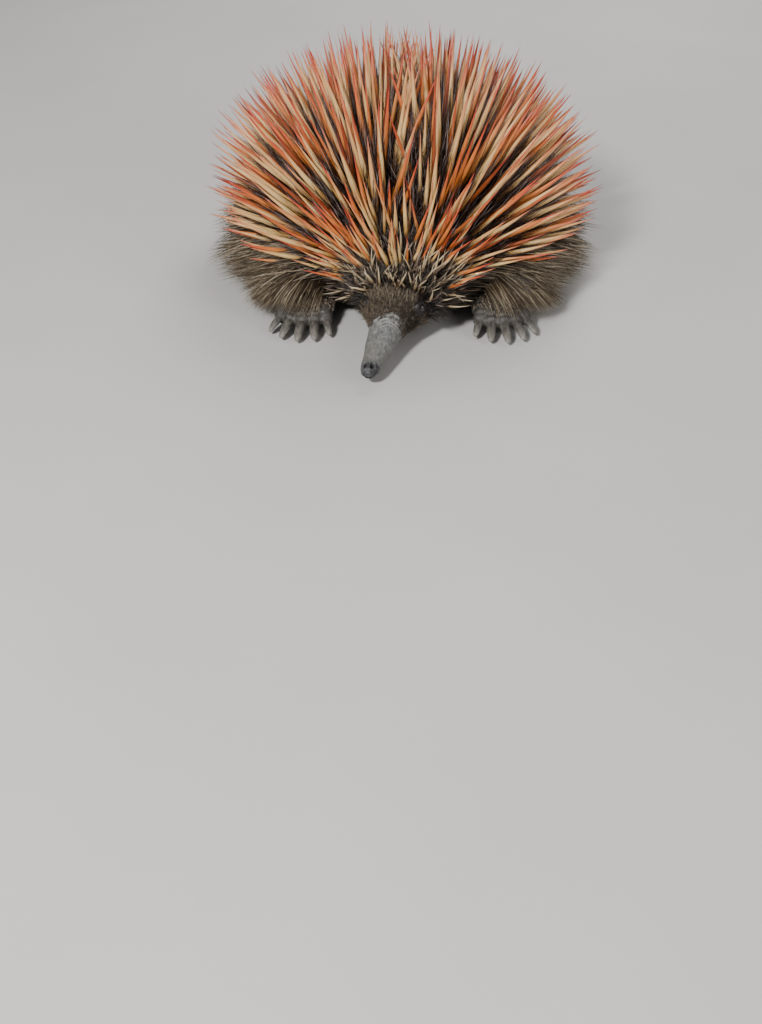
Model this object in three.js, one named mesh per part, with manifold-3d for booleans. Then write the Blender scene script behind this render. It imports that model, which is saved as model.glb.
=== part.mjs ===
// A short-beaked echidna at life size, hunched on the ground with its spines raised. Millimetres, +Z up.
// It faces -Y, its beak turned a little to its right (-X). The origin is on the floor, in the middle of its box.
import * as THREE from "three";
import { mergeVertices } from "three/addons/utils/BufferGeometryUtils.js";
import Module from "manifold-3d";

const wasm = await Module();
wasm.setup();

// Driving dimensions.
const GAP = 0.35; // left between sub-parts that touch
const SLIVER = 0.03; // detail finer than this is merged away
const SPINE_LENGTH = 53; // the longest spines, over the shoulders
const SPINE_WIDTH = 4.2;
const SPINE_ROW_STEP = 9.8; // from one row of spines to the next, over the back
const SPINE_RING_STEP = 10.8; // from spine to spine round the body
const SPINE_LOWEST = 26; // spines grow down the flanks to this height
const PARTING = 4; // the spines part along the back, this far to the left of its middle
const LOCK_LENGTH = 47; // bristly locks of the skirt below the spines
const LOCK_WIDTH = 9;
const LOCK_THICKNESS = 2;
const SINK = 5; // how deep a root lies in the flesh
const CLAW_WIDTH = 5.2;
const EYE_RADIUS = 3.6;
const FLOOR_CLEARANCE = 1.5; // under whatever doesn't carry weight

// Stations of the trunk from neck to rump.
const TRUNK = [
  { y: -84, halfWidth: 15, top: 31, belly: 14 },
  { y: -70, halfWidth: 33, top: 45, belly: 7 },
  { y: -49, halfWidth: 53, top: 62, belly: 5 },
  { y: -19, halfWidth: 67, top: 76, belly: 5 },
  { y: 15, halfWidth: 72, top: 80, belly: 5 },
  { y: 50, halfWidth: 71, top: 76, belly: 5 },
  { y: 83, halfWidth: 60, top: 62, belly: 6 },
  { y: 107, halfWidth: 41, top: 44, belly: 8 },
  { y: 120, halfWidth: 17, top: 28, belly: 14 },
];
const WIDEST_LEVEL = 0.36; // share of the trunk's height at which it is widest
const BELLY_FLATNESS = 0.62; // 1 is round, less is flatter

// Stations of the skull and beak from the neck to the tip: centre, half width and half height.
const SKULL = [
  { x: 1, y: -46, z: 31, halfWidth: 25, halfHeight: 20 },
  { x: 0, y: -66, z: 25.5, halfWidth: 25.5, halfHeight: 18.5 },
  { x: -2, y: -83, z: 20.5, halfWidth: 22, halfHeight: 14.5 },
  { x: -5, y: -97, z: 17, halfWidth: 15.5, halfHeight: 11.5 },
  { x: -8, y: -109, z: 14, halfWidth: 9.8, halfHeight: 8.6 },
  { x: -11.5, y: -123, z: 11.2, halfWidth: 7.4, halfHeight: 6.6 },
  { x: -14.5, y: -136, z: 8.8, halfWidth: 5.7, halfHeight: 5 },
  { x: -17.5, y: -148, z: 7.2, halfWidth: 4.7, halfHeight: 4 },
];
const NECK = { at: new THREE.Vector3(0, -70, 34), forward: new THREE.Vector3(-0.04, -1, 0.12) };
const BEAK = { at: new THREE.Vector3(-8, -109, 15), forward: new THREE.Vector3(-0.24, -1, -0.2) };

// A repeatable run of numbers from 0 to 1.
function makeRandom(seed) {
  let state = seed;
  return () => {
    state = (state + 0x6d2b79f5) | 0;
    let mixed = Math.imul(state ^ (state >>> 15), 1 | state);
    mixed = (mixed + Math.imul(mixed ^ (mixed >>> 7), 61 | mixed)) ^ mixed;
    return ((mixed ^ (mixed >>> 14)) >>> 0) / 4294967296;
  };
}

// A smooth run (Catmull-Rom) through evenly spaced stations, for each of their values.
function along(stations, t) {
  const last = stations.length - 1;
  const place = THREE.MathUtils.clamp(t, 0, 1) * last;
  const i = Math.min(Math.floor(place), last - 1);
  const f = place - i;
  const station = (k) => stations[THREE.MathUtils.clamp(k, 0, last)];
  const found = {};
  for (const key of Object.keys(stations[0])) {
    const [a, b, c, d] = [i - 1, i, i + 1, i + 2].map((k) => station(k)[key]);
    const start = (c - a) / 2;
    const end = (d - b) / 2;
    found[key] =
      (2 * b - 2 * c + start + end) * f ** 3 + (3 * c - 3 * b - 2 * start - end) * f ** 2 + start * f + b;
  }
  return found;
}

// Closed solids from three.js geometry.
function solidOf(geometry) {
  const bare = geometry.clone();
  bare.deleteAttribute("normal");
  bare.deleteAttribute("uv");
  const merged = mergeVertices(bare, 1e-4);
  const build = (triVerts) =>
    new wasm.Manifold(
      new wasm.Mesh({ numProp: 3, vertProperties: merged.attributes.position.array, triVerts }),
    );
  const corners = new Uint32Array(merged.index.array);
  const made = build(corners);
  if (made.volume() > 0) return made;
  return build(corners.reverse());
}

// The largest closed surface of a solid, without loose scraps, sealed hollows or slivers.
function largest(solid, sliver = SLIVER) {
  const tidy = (one) => one.asOriginal().simplify(sliver);
  return tidy(tidy(solid).decompose().sort((a, b) => b.volume() - a.volume())[0]);
}

function joined(solids) {
  return wasm.Manifold.union(solids);
}

// A cylinder with its rings placed by ring(v, angle, radius): v is 0 to 1 along it, radius is 0 in a cap's middle.
function shaped(cylinder, ring) {
  const place = cylinder.attributes.position;
  for (let i = 0; i < place.count; i += 1) {
    const [x, z] = [place.getX(i), place.getZ(i)];
    const radius = Math.hypot(x, z) > 1e-6 ? 1 : 0;
    const point = ring(place.getY(i) + 0.5, Math.atan2(x, z), radius);
    place.setXYZ(i, point.x, point.y, point.z);
  }
  return solidOf(cylinder);
}

// A box that fills the space on one side of a plane.
function halfSpace(point, normal, offset = 0) {
  const size = 800;
  const way = normal.clone().normalize();
  const box = new THREE.BoxGeometry(size, size, size);
  box.translate(0, 0, size / 2);
  box.applyQuaternion(new THREE.Quaternion().setFromUnitVectors(new THREE.Vector3(0, 0, 1), way));
  const start = point.clone().addScaledVector(way, offset);
  box.translate(start.x, start.y, start.z);
  return solidOf(box);
}

// The trunk's surface: t runs from neck to rump, angle from the back (0) round the flank to the belly (pi).
function trunkPoint(t, angle, radius = 1) {
  const { y, halfWidth, top, belly } = along(TRUNK, t);
  const level = belly + (top - belly) * WIDEST_LEVEL;
  const up = Math.cos(angle);
  const side = Math.sin(angle);
  if (up >= 0) return new THREE.Vector3(halfWidth * side * radius, y, level + (top - level) * up * radius);
  const out = Math.sign(side) * Math.abs(side) ** BELLY_FLATNESS;
  const down = (level - belly) * Math.abs(up) ** BELLY_FLATNESS;
  return new THREE.Vector3(halfWidth * out * radius, y, level - down * radius);
}

function trunkNormal(t, angle) {
  const step = 0.004;
  const alongBody = trunkPoint(Math.min(t + step, 1), angle).sub(trunkPoint(Math.max(t - step, 0), angle));
  const round = trunkPoint(t, angle + step).sub(trunkPoint(t, angle - step));
  return round.cross(alongBody).normalize();
}

// The frame of a limb, skull or digit at t on its smooth line through stations.
function frameAt(stations, t) {
  const centreAt = (u) => {
    const s = along(stations, u);
    return new THREE.Vector3(s.x, s.y, s.z);
  };
  const station = along(stations, t);
  const way = centreAt(t + 0.01).sub(centreAt(t - 0.01)).normalize();
  const across = new THREE.Vector3(0, 0, 1).cross(way).normalize();
  const over = way.clone().cross(across).normalize();
  const wide = station.halfWidth;
  return { centre: centreAt(t), way, across, over, wide, high: station.halfHeight ?? wide };
}

// Oval rings along stations. grow swells it all over.
function limb(stations, sides, steps, grow = 0, roundEnds = 0.12) {
  return shaped(new THREE.CylinderGeometry(1, 1, 1, sides, steps), (v, angle, radius) => {
    const { centre, way, across, over, wide, high } = frameAt(stations, v);
    const fromEnd = Math.min(v, 1 - v) / roundEnds;
    const full = fromEnd >= 1 ? 1 : Math.sqrt(0.3 + 0.7 * fromEnd * (2 - fromEnd));
    return centre
      .addScaledVector(across, Math.sin(angle) * (wide * full + grow) * radius)
      .addScaledVector(over, Math.cos(angle) * (high * full + grow) * radius)
      .addScaledVector(way, v === 0 ? -grow : v === 1 ? grow : 0);
  });
}

// A tapered spine, lock or claw. It leaves root along way, bends towards bend, and starts sink below its root.
const PLAIN_QUILL = { sink: SINK, full: 0.45, sides: 4, steps: 2, side: new THREE.Vector3(0.31, 0.52, 0.79) };
function quill(hair, grow = 0) {
  const { root, way, bend, length, width, sink, full, sides, steps, side } = { ...PLAIN_QUILL, ...hair };
  const thickness = hair.thickness ?? width;
  const across = side.clone();
  across.addScaledVector(way, -across.dot(way)).normalize();
  const over = way.clone().cross(across).normalize();
  return shaped(new THREE.CylinderGeometry(0, 1, 1, sides, steps), (v, angle, radius) => {
    const s = v < 1 ? -sink / length + v * (1 + sink / length) : 1;
    const taper = s <= full ? 1 : 1 - ((s - full) / (1 - full)) ** 1.15;
    const wide = ((width / 2) * taper + grow) * radius;
    const thick = ((thickness / 2) * taper + grow) * radius;
    const tip = v === 1;
    return root
      .clone()
      .addScaledVector(way, s * length + (tip ? grow * 2 : v === 0 ? -grow : 0))
      .addScaledVector(bend, Math.max(s, 0) ** 2)
      .addScaledVector(across, tip ? 0 : Math.sin(angle) * wide)
      .addScaledVector(over, tip ? 0 : Math.cos(angle) * thick);
  });
}

// How long a spine is at a place on the trunk, and which way it stands: out of the skin and away from the head.
const FAN_CENTRE = new THREE.Vector3(0, -72, 18);
function spineAt(t, angle, random) {
  const root = trunkPoint(t, angle);
  const normal = trunkNormal(t, angle);
  const away = root.clone().sub(FAN_CENTRE).normalize();
  const grown = THREE.MathUtils.smoothstep(root.y, -92, -42);
  const rear = THREE.MathUtils.smoothstep(root.y, 20, 110);
  const low = THREE.MathUtils.smoothstep(-root.z, -50, -22);
  const share = (0.4 + 0.6 * grown) * (1 - 0.2 * rear) * (1 - 0.2 * low) * (0.86 + 0.2 * random());
  const length = SPINE_LENGTH * share;
  const way = normal.multiplyScalar(0.75).addScaledVector(away, 0.62);
  const aside = root.x - PARTING;
  way.x -= Math.sign(aside) * 0.7 * Math.exp(-((aside / 17) ** 2)) * (0.3 + 0.7 * random());
  way.z += 0.04 * low;
  way.add(new THREE.Vector3(random() - 0.5, random() - 0.5, random() - 0.5).multiplyScalar(0.2)).normalize();
  const bend = new THREE.Vector3(0, 0.25, 1).multiplyScalar(length * 0.07);
  return { root, way, bend, length };
}

// A lock from root along way, flattened, that droops to just over the floor.
function droop(root, way, length, least, random) {
  const drop = (root.z - FLOOR_CLEARANCE - 2.5) * (least + (1 - least) * random());
  const lie = way.clone().setZ(0).normalize();
  lie.z = (-0.3 * drop) / length;
  return {
    root,
    way: lie.normalize(),
    length,
    bend: new THREE.Vector3(0, 0, -0.7 * drop),
    side: new THREE.Vector3(-lie.y, lie.x, 0.15),
    width: LOCK_WIDTH * (0.85 + 0.3 * random()),
    thickness: LOCK_THICKNESS,
    full: 0.3,
    sink: 4,
  };
}

// How a lock of the skirt lies at a place on the trunk: outwards and swept back.
function lockAt(t, angle, random) {
  const root = trunkPoint(t, angle);
  const way = trunkNormal(t, angle);
  way.y += 0.3 * THREE.MathUtils.smoothstep(root.y, -60, 20);
  way.add(new THREE.Vector3(random() - 0.5, random() - 0.5, 0).multiplyScalar(0.35));
  return droop(root, way, LOCK_LENGTH * (0.8 + 0.25 * random()), 0.25, random);
}

// Even places over the trunk: rows from neck to rump, and steps round each row on both flanks.
function placesOnTrunk(rowStep, ringStep, from, highest, lowest, random) {
  const places = [];
  const meridian = 0.8;
  const samples = 600;
  let walked = rowStep / 2;
  let row = 0;
  for (let i = 1; i <= samples; i += 1) {
    const t = i / samples;
    walked += trunkPoint(t, meridian).distanceTo(trunkPoint((i - 1) / samples, meridian));
    if (walked < rowStep || t < from) continue;
    walked -= rowStep;
    row += 1;
    for (const flank of [-1, 1]) {
      let round = row % 2 ? ringStep / 2 : 0;
      for (let angle = 0.01; angle < Math.PI * 0.7; angle += 0.01) {
        round += trunkPoint(t, angle).distanceTo(trunkPoint(t, angle - 0.01));
        if (round < ringStep) continue;
        round -= ringStep;
        const shaken = angle + (random() - 0.5) * 0.05;
        const nudged = THREE.MathUtils.clamp(t + (random() - 0.5) * 0.022, 0.01, 0.985);
        const height = trunkPoint(nudged, shaken).z;
        if (height < lowest) break;
        if (height < highest) places.push({ t: nudged, angle: flank * shaken });
      }
    }
  }
  return places;
}

// Flesh of the trunk and skull in one piece, then parted at the neck and where the bare beak begins.
const trunk = shaped(new THREE.CylinderGeometry(1, 1, 1, 24, 16), trunkPoint);
const skull = limb(SKULL, 16, 20);
const flesh = trunk.add(skull);
const torsoFlesh = largest(flesh.intersect(halfSpace(NECK.at, NECK.forward.clone().negate(), GAP / 2)));
const frontFlesh = flesh.intersect(halfSpace(NECK.at, NECK.forward, GAP / 2));
const headFlesh = largest(frontFlesh.intersect(halfSpace(BEAK.at, BEAK.forward.clone().negate(), GAP / 2)));
const beakFlesh = largest(frontFlesh.intersect(halfSpace(BEAK.at, BEAK.forward, GAP / 2)));

// A place on a limb or the skull: t as in its stations, angle from its upper side (0) towards +X.
function onLimb(stations, t, angle) {
  const { centre, across, over, wide, high } = frameAt(stations, t);
  const left = across.multiplyScalar(across.x < 0 ? -1 : 1);
  const up = over.multiplyScalar(over.z < 0 ? -1 : 1);
  const root = centre.addScaledVector(left, Math.sin(angle) * wide).addScaledVector(up, Math.cos(angle) * high);
  const outward = left.multiplyScalar(Math.sin(angle) / wide).addScaledVector(up, Math.cos(angle) / high);
  return { root, outward: outward.normalize() };
}

// Eyes sit low on the sides of the face, just behind the beak, each in a socket with a lid round it.
const EYE_STATION = 0.42;
const EYE_ANGLE = 1.2;
const eyes = [-1, 1].map((side) => {
  const { root, outward } = onLimb(SKULL, EYE_STATION, side * EYE_ANGLE);
  outward.y -= 0.35;
  outward.normalize();
  return { side, outward, centre: root.addScaledVector(outward, -EYE_RADIUS * 0.5) };
});

function ball(centre, radius, sides = 12) {
  const sphere = new THREE.SphereGeometry(radius, sides, Math.round(sides * 0.6));
  sphere.translate(centre.x, centre.y, centre.z);
  return solidOf(sphere);
}

function lid({ centre, outward }) {
  const ring = new THREE.TorusGeometry(EYE_RADIUS * 0.86, 1.15, 4, 10);
  ring.applyQuaternion(new THREE.Quaternion().setFromUnitVectors(new THREE.Vector3(0, 0, 1), outward));
  const place = centre.clone().addScaledVector(outward, EYE_RADIUS * 0.6);
  ring.translate(place.x, place.y, place.z);
  return solidOf(ring);
}

// An ear is an upright slit with a low fleshy rim, hidden among the bristles behind the eye.
const EAR_STATION = 0.235;
const EAR_ANGLE = 1.25;
function earParts(side) {
  const { root: place } = onLimb(SKULL, EAR_STATION, side * EAR_ANGLE);
  const oval = (width, height, depth) => {
    const shape = new THREE.SphereGeometry(1, 8, 6);
    shape.scale(depth, width, height);
    shape.translate(place.x, place.y, place.z);
    return solidOf(shape);
  };
  return { rim: oval(3.4, 7, 2.2), cup: oval(1.7, 5, 4) };
}

let head = headFlesh;
for (const eye of eyes) {
  const ear = earParts(eye.side);
  head = head.add(lid(eye)).subtract(ball(eye.centre, EYE_RADIUS + 1.6 * GAP, 10));
  head = head.add(ear.rim).subtract(ear.cup);
}
const bareHead = head.intersect(halfSpace(NECK.at, NECK.forward, GAP / 2));

// The beak: two nostrils on top of its tip, and the small mouth as a cleft under it.
const { centre: BEAK_TIP, way: BEAK_WAY } = frameAt(SKULL, 1);
const BEAK_SIDE = new THREE.Vector3(0, 0, 1).cross(BEAK_WAY).normalize();
function nostril(side) {
  const place = BEAK_TIP.clone()
    .addScaledVector(BEAK_WAY, -4)
    .addScaledVector(BEAK_SIDE, side * 2)
    .add(new THREE.Vector3(0, 0, SKULL.at(-1).halfHeight));
  return quill({
    root: place,
    way: new THREE.Vector3(0, 0, -0.35).sub(BEAK_WAY).addScaledVector(BEAK_SIDE, side * 0.3).normalize(),
    bend: new THREE.Vector3(),
    length: 3.2,
    width: 1.5,
    sink: 1.6,
    sides: 6,
  });
}
function mouthCleft() {
  const slot = new THREE.BoxGeometry(11, 7, 0.8);
  slot.applyQuaternion(new THREE.Quaternion().setFromUnitVectors(new THREE.Vector3(0, -1, 0), BEAK_WAY));
  const place = BEAK_TIP.clone().addScaledVector(BEAK_WAY, 0.2).add(new THREE.Vector3(0, 0, -1.7));
  slot.translate(place.x, place.y, place.z);
  return solidOf(slot);
}
const beak = largest(beakFlesh.subtract(nostril(-1)).subtract(nostril(1)).subtract(mouthCleft()));

// Limbs for the animal's left side (+X); the right side mirrors them.
const FORELEG = [
  { x: 34, y: -38, z: 27, halfWidth: 15 },
  { x: 45, y: -48, z: 22, halfWidth: 13.5 },
  { x: 50, y: -58, z: 16.5, halfWidth: 11.5 },
  { x: 52, y: -66, z: 12, halfWidth: 10 },
];
const HINDLEG = [
  { x: 44, y: 62, z: 29, halfWidth: 18 },
  { x: 56, y: 67, z: 23, halfWidth: 16 },
  { x: 62, y: 73, z: 17, halfWidth: 12.5 },
  { x: 65, y: 77, z: 12, halfWidth: 10 },
];
const FEET = {
  fore: {
    palm: { x: 52, y: -71, z: 7.5, halfWidth: 15, halfLength: 14, halfHeight: 8.5 },
    turn: 0.12, // which way the toes point: 0 is ahead, more is outwards
    digits: [
      { aside: -7, fan: -0.38, reach: 13.5, claw: 11 },
      { aside: -3.6, fan: -0.18, reach: 15.5, claw: 14 },
      { aside: 0, fan: 0, reach: 16.5, claw: 15 },
      { aside: 3.6, fan: 0.18, reach: 15.5, claw: 14 },
      { aside: 7, fan: 0.38, reach: 13.5, claw: 11 },
    ],
  },
  hind: {
    palm: { x: 68, y: 80, z: 7, halfWidth: 13, halfLength: 14, halfHeight: 8 },
    turn: 2.05,
    digits: [
      { aside: 0, fan: -1.02, reach: 13, claw: 8 },
      { aside: 0, fan: -0.52, reach: 15.5, claw: 28 },
      { aside: 0, fan: -0.04, reach: 16, claw: 18 },
      { aside: 0, fan: 0.44, reach: 15.5, claw: 11 },
      { aside: 0, fan: 0.92, reach: 13, claw: 8 },
    ],
  },
};

function mirrored(points, side) {
  return points.map((p) => ({ ...p, x: p.x * side }));
}

// The toes of a foot: where each claw leaves it and which way it points.
function toesOf(foot, side) {
  const { palm, turn, digits } = foot;
  const across = new THREE.Vector3(Math.cos(turn) * side, Math.sin(turn), 0);
  return digits.map(({ aside, fan, reach, claw }) => {
    const heading = turn + fan;
    const way = new THREE.Vector3(Math.sin(heading) * side, -Math.cos(heading), 0);
    const start = new THREE.Vector3(palm.x * side, palm.y, palm.z).addScaledVector(across, aside);
    const root = start.clone().addScaledVector(way, reach);
    root.z = 6.4;
    return { way, root, claw, start };
  });
}

function clawShape({ way, root, claw }, grow = 0) {
  const down = new THREE.Vector3(0, 0, -0.06);
  return quill(
    {
      root: root.clone().addScaledVector(way, 1),
      way: way.clone().add(down).normalize(),
      bend: new THREE.Vector3(0, 0, -3.2),
      length: claw,
      width: CLAW_WIDTH * (claw > 12 ? 1 : 0.85),
      thickness: CLAW_WIDTH * (claw > 12 ? 0.72 : 0.62),
      side: new THREE.Vector3(-way.y, way.x, 0),
      sink: 4,
      full: 0.55,
      sides: 6,
      steps: 3,
    },
    grow,
  );
}

const above = (height) => halfSpace(new THREE.Vector3(0, 0, height), new THREE.Vector3(0, 0, 1));
const ANKLE = 9; // height at which a leg meets its foot

function footSolid(foot, side, grow = 0) {
  const { palm, turn } = foot;
  const pad = new THREE.SphereGeometry(1, 10, 7);
  pad.scale(palm.halfWidth + grow, palm.halfLength + grow, palm.halfHeight + grow);
  pad.rotateZ(turn * side);
  pad.translate(palm.x * side, palm.y, palm.z);
  const toes = toesOf(foot, side);
  const digits = toes.map(({ start, root }) =>
    limb(
      [
        { x: start.x, y: start.y, z: start.z, halfWidth: 5 },
        { x: root.x, y: root.y, z: root.z, halfWidth: 4 },
      ],
      6,
      2,
      grow,
      0.3,
    ),
  );
  return joined([solidOf(pad), ...digits]).intersect(above(grow ? -3 : 0));
}

const SIDES = [
  { name: "left", side: 1 },
  { name: "right", side: -1 },
];
const LEGS = [
  { name: "fore", stations: FORELEG, foot: FEET.fore },
  { name: "hind", stations: HINDLEG, foot: FEET.hind },
];

// Every limb: the upper leg is let into the trunk, the foot into the leg, and each claw into its toe.
const limbs = [];
for (const { name, stations, foot } of LEGS) {
  for (const { name: sideName, side } of SIDES) {
    const legStations = mirrored(stations, side);
    const toes = toesOf(foot, side);
    const wholeFoot = footSolid(foot, side);
    const leg = limb(legStations, 12, 6).hull().intersect(above(ANKLE));
    const claws = toes.map((toe) => clawShape(toe).intersect(above(0.4)));
    let freeFoot = wholeFoot;
    for (const toe of toes) freeFoot = freeFoot.subtract(clawShape(toe, GAP));
    const legRoom = limb(legStations, 12, 6, GAP).hull().intersect(above(ANKLE - GAP));
    limbs.push({
      name: `${name}leg_${sideName}`,
      footName: `${name}foot_${sideName}`,
      clawName: `claw_${name}_${sideName}`,
      side,
      stations: legStations,
      leg: largest(leg),
      room: joined([legRoom, footSolid(foot, side, GAP), ...toes.map((toe) => clawShape(toe, GAP))]),
      footRoom: joined([footSolid(foot, side), ...toes.map((toe) => clawShape(toe))]),
      foot: largest(freeFoot.subtract(legRoom), 0.1),
      claws: claws.map((claw) => largest(claw)),
      hind: name === "hind",
    });
  }
}

// The tail: a stub under the rump.
const TAIL = [
  { x: 0, y: 98, z: 30, halfWidth: 12, halfHeight: 10.5 },
  { x: 0, y: 116, z: 23, halfWidth: 10.5, halfHeight: 9 },
  { x: 0, y: 130, z: 17, halfWidth: 7.5, halfHeight: 6.5 },
  { x: 0, y: 139, z: 13, halfWidth: 4.5, halfHeight: 4 },
];
const tail = largest(limb(TAIL, 10, 6));
const tailRoom = limb(TAIL, 10, 6, GAP);

// A node with its spines and locks rooted in it, less those that would touch the floor or what is next to it.
const random = makeRandom(7);
function coated(core, hairs, around) {
  const obstacles = joined(around);
  const rooted = hairs.filter((hair) => {
    const room = quill(hair, GAP);
    return room.boundingBox().min[2] > FLOOR_CLEARANCE - GAP && room.intersect(obstacles).isEmpty();
  });
  return largest(joined([core, ...rooted.map((hair) => quill(hair))]));
}

const spineOf = (place, width = SPINE_WIDTH) => ({ ...place, width: width * (0.85 + 0.3 * random()) });
const shaken = (way, by) => {
  const shake = new THREE.Vector3(random() - 0.5, random() - 0.5, random() - 0.5);
  return way.clone().addScaledVector(shake, by).normalize();
};

// The crown: small spines at the brow, longer towards the neck.
const CROWN = [
  { t: 0.37, length: 13, count: 6, spread: 0.95 },
  { t: 0.325, length: 20, count: 7, spread: 1.15 },
  { t: 0.275, length: 29, count: 8, spread: 1.3 },
  { t: 0.225, length: 38, count: 8, spread: 1.35 },
];
const crown = CROWN.flatMap(({ t, length, count, spread }, row) =>
  Array.from({ length: count }, (_, i) => {
    const angle = spread * ((2 * i) / (count - 1) - 1) + (random() - 0.5) * 0.08;
    const { root, outward } = onLimb(SKULL, t, angle);
    const back = root.clone().sub(FAN_CENTRE).setY(0.2 * length).normalize();
    const way = shaken(outward.addScaledVector(back, 0.25), 0.2);
    const bend = new THREE.Vector3(0, 0.4, 0.6).multiplyScalar(length * 0.1);
    return spineOf({ root, way, bend, length: length * (0.85 + 0.3 * random()), sink: 4 }, 2.6 + 0.45 * row);
  }),
);

// Locks down a leg, lying outwards over the foot.
function legLocks({ stations, side, hind }) {
  const locks = [];
  for (const t of [0.34, 0.56, 0.76, 0.94])
    for (const turn of hind ? [0.3, 1, 1.7] : [-0.75, -0.15, 0.5, 1.15, 1.8]) {
      const { root, outward } = onLimb(stations, t, side * (turn + (random() - 0.5) * 0.3));
      const combed = new THREE.Vector3(side * (hind ? 0.8 : 1.3), hind ? 0.35 : 0.1, 0);
      const way = outward.multiplyScalar(hind ? 1 : 0.6).add(combed);
      way.add(new THREE.Vector3(random() - 0.5, random() - 0.5, 0).multiplyScalar(0.3));
      const length = (hind ? 28 : 38) * (1.1 - 0.35 * t) * (0.85 + 0.3 * random());
      locks.push(droop(root, way, length, hind ? 0.6 : 0.4, random));
    }
  return locks;
}

// The tail's spines point back and out, in rings.
function tailSpines() {
  const spines = [];
  for (const [t, turn] of [[0.5, 0], [0.68, 0.35], [0.82, 0], [0.96, 0.35]])
    for (const angle of [-1.75, -1.05, -0.35, 0.35, 1.05, 1.75]) {
      const { root, outward } = onLimb(TAIL, t, angle + turn);
      const way = shaken(outward.multiplyScalar(0.8).add(new THREE.Vector3(0, 1.1, 0.1)).normalize(), 0.2);
      const bend = new THREE.Vector3(0, 0, 2);
      spines.push(spineOf({ root, way, bend, length: 25 * (0.85 + 0.3 * random()), sink: 3 }, 3.2));
    }
  return spines;
}

const eyeBalls = eyes.map(({ centre }) => ball(centre, EYE_RADIUS, 10));
const headNode = coated(bareHead, crown, [torsoFlesh, ...eyeBalls, ...limbs.map((l) => l.footRoom)]);
for (const l of limbs) l.leg = coated(l.leg, legLocks(l), [torsoFlesh, headNode, l.footRoom]);
const tailNode = coated(tail, tailSpines(), [torsoFlesh]);

const places = (rowStep, ringStep, from, highest, lowest) =>
  placesOnTrunk(rowStep, ringStep, from, highest, lowest, random);
const clearOfParting = ({ root }) => root.y > 10 || Math.abs(root.x - PARTING) > 3.5;
const back = places(SPINE_ROW_STEP, SPINE_RING_STEP, 0.09, 1000, SPINE_LOWEST)
  .map(({ t, angle }) => spineOf(spineAt(t, angle, random)))
  .filter(clearOfParting);
const skirt = places(LOCK_WIDTH, 9, 0.2, SPINE_LOWEST, 12).map(({ t, angle }) => lockAt(t, angle, random));
const core = largest(torsoFlesh.subtract(joined([tailRoom, ...limbs.map((l) => l.room)])));
const round = [headNode, tailRoom, tailNode, ...limbs.flatMap((l) => [l.room, l.leg])];
const torso = coated(core, [...back, ...skirt], round);

// One named mesh for each sub-part.
const materials = {
  coat: new THREE.MeshStandardMaterial({ color: 0x8a6a45, roughness: 0.8, metalness: 0 }),
  fur: new THREE.MeshStandardMaterial({ color: 0x4a3b30, roughness: 0.9, metalness: 0 }),
  skin: new THREE.MeshStandardMaterial({ color: 0x77706a, roughness: 0.6, metalness: 0 }),
  claw: new THREE.MeshStandardMaterial({ color: 0x9c958a, roughness: 0.45, metalness: 0 }),
  eye: new THREE.MeshStandardMaterial({ color: 0x0c0a09, roughness: 0.1, metalness: 0 }),
};

const animal = new THREE.Group();
function add(name, solid, material) {
  const { vertProperties, triVerts, numProp } = solid.getMesh();
  const geometry = new THREE.BufferGeometry();
  const positions = new Float32Array((vertProperties.length / numProp) * 3);
  for (let i = 0; i < positions.length / 3; i += 1)
    positions.set(vertProperties.subarray(i * numProp, i * numProp + 3), i * 3);
  geometry.setAttribute("position", new THREE.BufferAttribute(positions, 3));
  geometry.setIndex(new THREE.BufferAttribute(triVerts, 1));
  geometry.computeVertexNormals();
  const mesh = new THREE.Mesh(geometry, material);
  mesh.name = name;
  animal.add(mesh);
}

add("torso", torso, materials.coat);
add("head", headNode, materials.fur);
add("beak", beak, materials.skin);
add("tail", tailNode, materials.fur);
eyes.forEach(({ side }, i) => add(side > 0 ? "eye_left" : "eye_right", eyeBalls[i], materials.eye));
for (const l of limbs) {
  add(l.name, l.leg, materials.fur);
  add(l.footName, l.foot, materials.skin);
  l.claws.forEach((claw, i) => add(`${l.clawName}_${i + 1}`, claw, materials.claw));
}

// The origin goes to the middle of the box, on the floor.
const box = new THREE.Box3().setFromObject(animal);
const middle = box.getCenter(new THREE.Vector3());
animal.position.set(-middle.x, -middle.y, 0);
const echidna = new THREE.Group();
echidna.add(animal);
export default echidna;
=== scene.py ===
# %% [markdown]
# # An echidna at life size
# The animal is hunched on the ground with its spines raised, its beak pointing at the viewer.
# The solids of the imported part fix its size, so the first step loads them and notes their box.

# %% Load the part
import math

import bmesh
import bpy
import numpy as np
from mathutils import Matrix, Vector
from mathutils.noise import noise as perlin


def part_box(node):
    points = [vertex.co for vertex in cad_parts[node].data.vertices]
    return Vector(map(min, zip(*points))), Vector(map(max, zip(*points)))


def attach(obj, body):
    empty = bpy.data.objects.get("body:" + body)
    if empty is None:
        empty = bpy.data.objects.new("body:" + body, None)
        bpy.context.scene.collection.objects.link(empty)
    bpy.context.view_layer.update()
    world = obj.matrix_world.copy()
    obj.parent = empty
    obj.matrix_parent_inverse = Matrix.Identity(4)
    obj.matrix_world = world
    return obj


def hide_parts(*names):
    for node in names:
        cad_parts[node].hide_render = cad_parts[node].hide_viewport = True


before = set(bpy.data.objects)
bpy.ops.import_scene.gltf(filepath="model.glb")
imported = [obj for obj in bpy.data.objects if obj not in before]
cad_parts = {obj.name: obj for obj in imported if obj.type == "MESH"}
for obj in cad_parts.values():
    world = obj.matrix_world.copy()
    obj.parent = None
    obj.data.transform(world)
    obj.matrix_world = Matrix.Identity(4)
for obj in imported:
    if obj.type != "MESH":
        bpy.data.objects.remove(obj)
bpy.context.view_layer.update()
MM = 0.001

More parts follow.
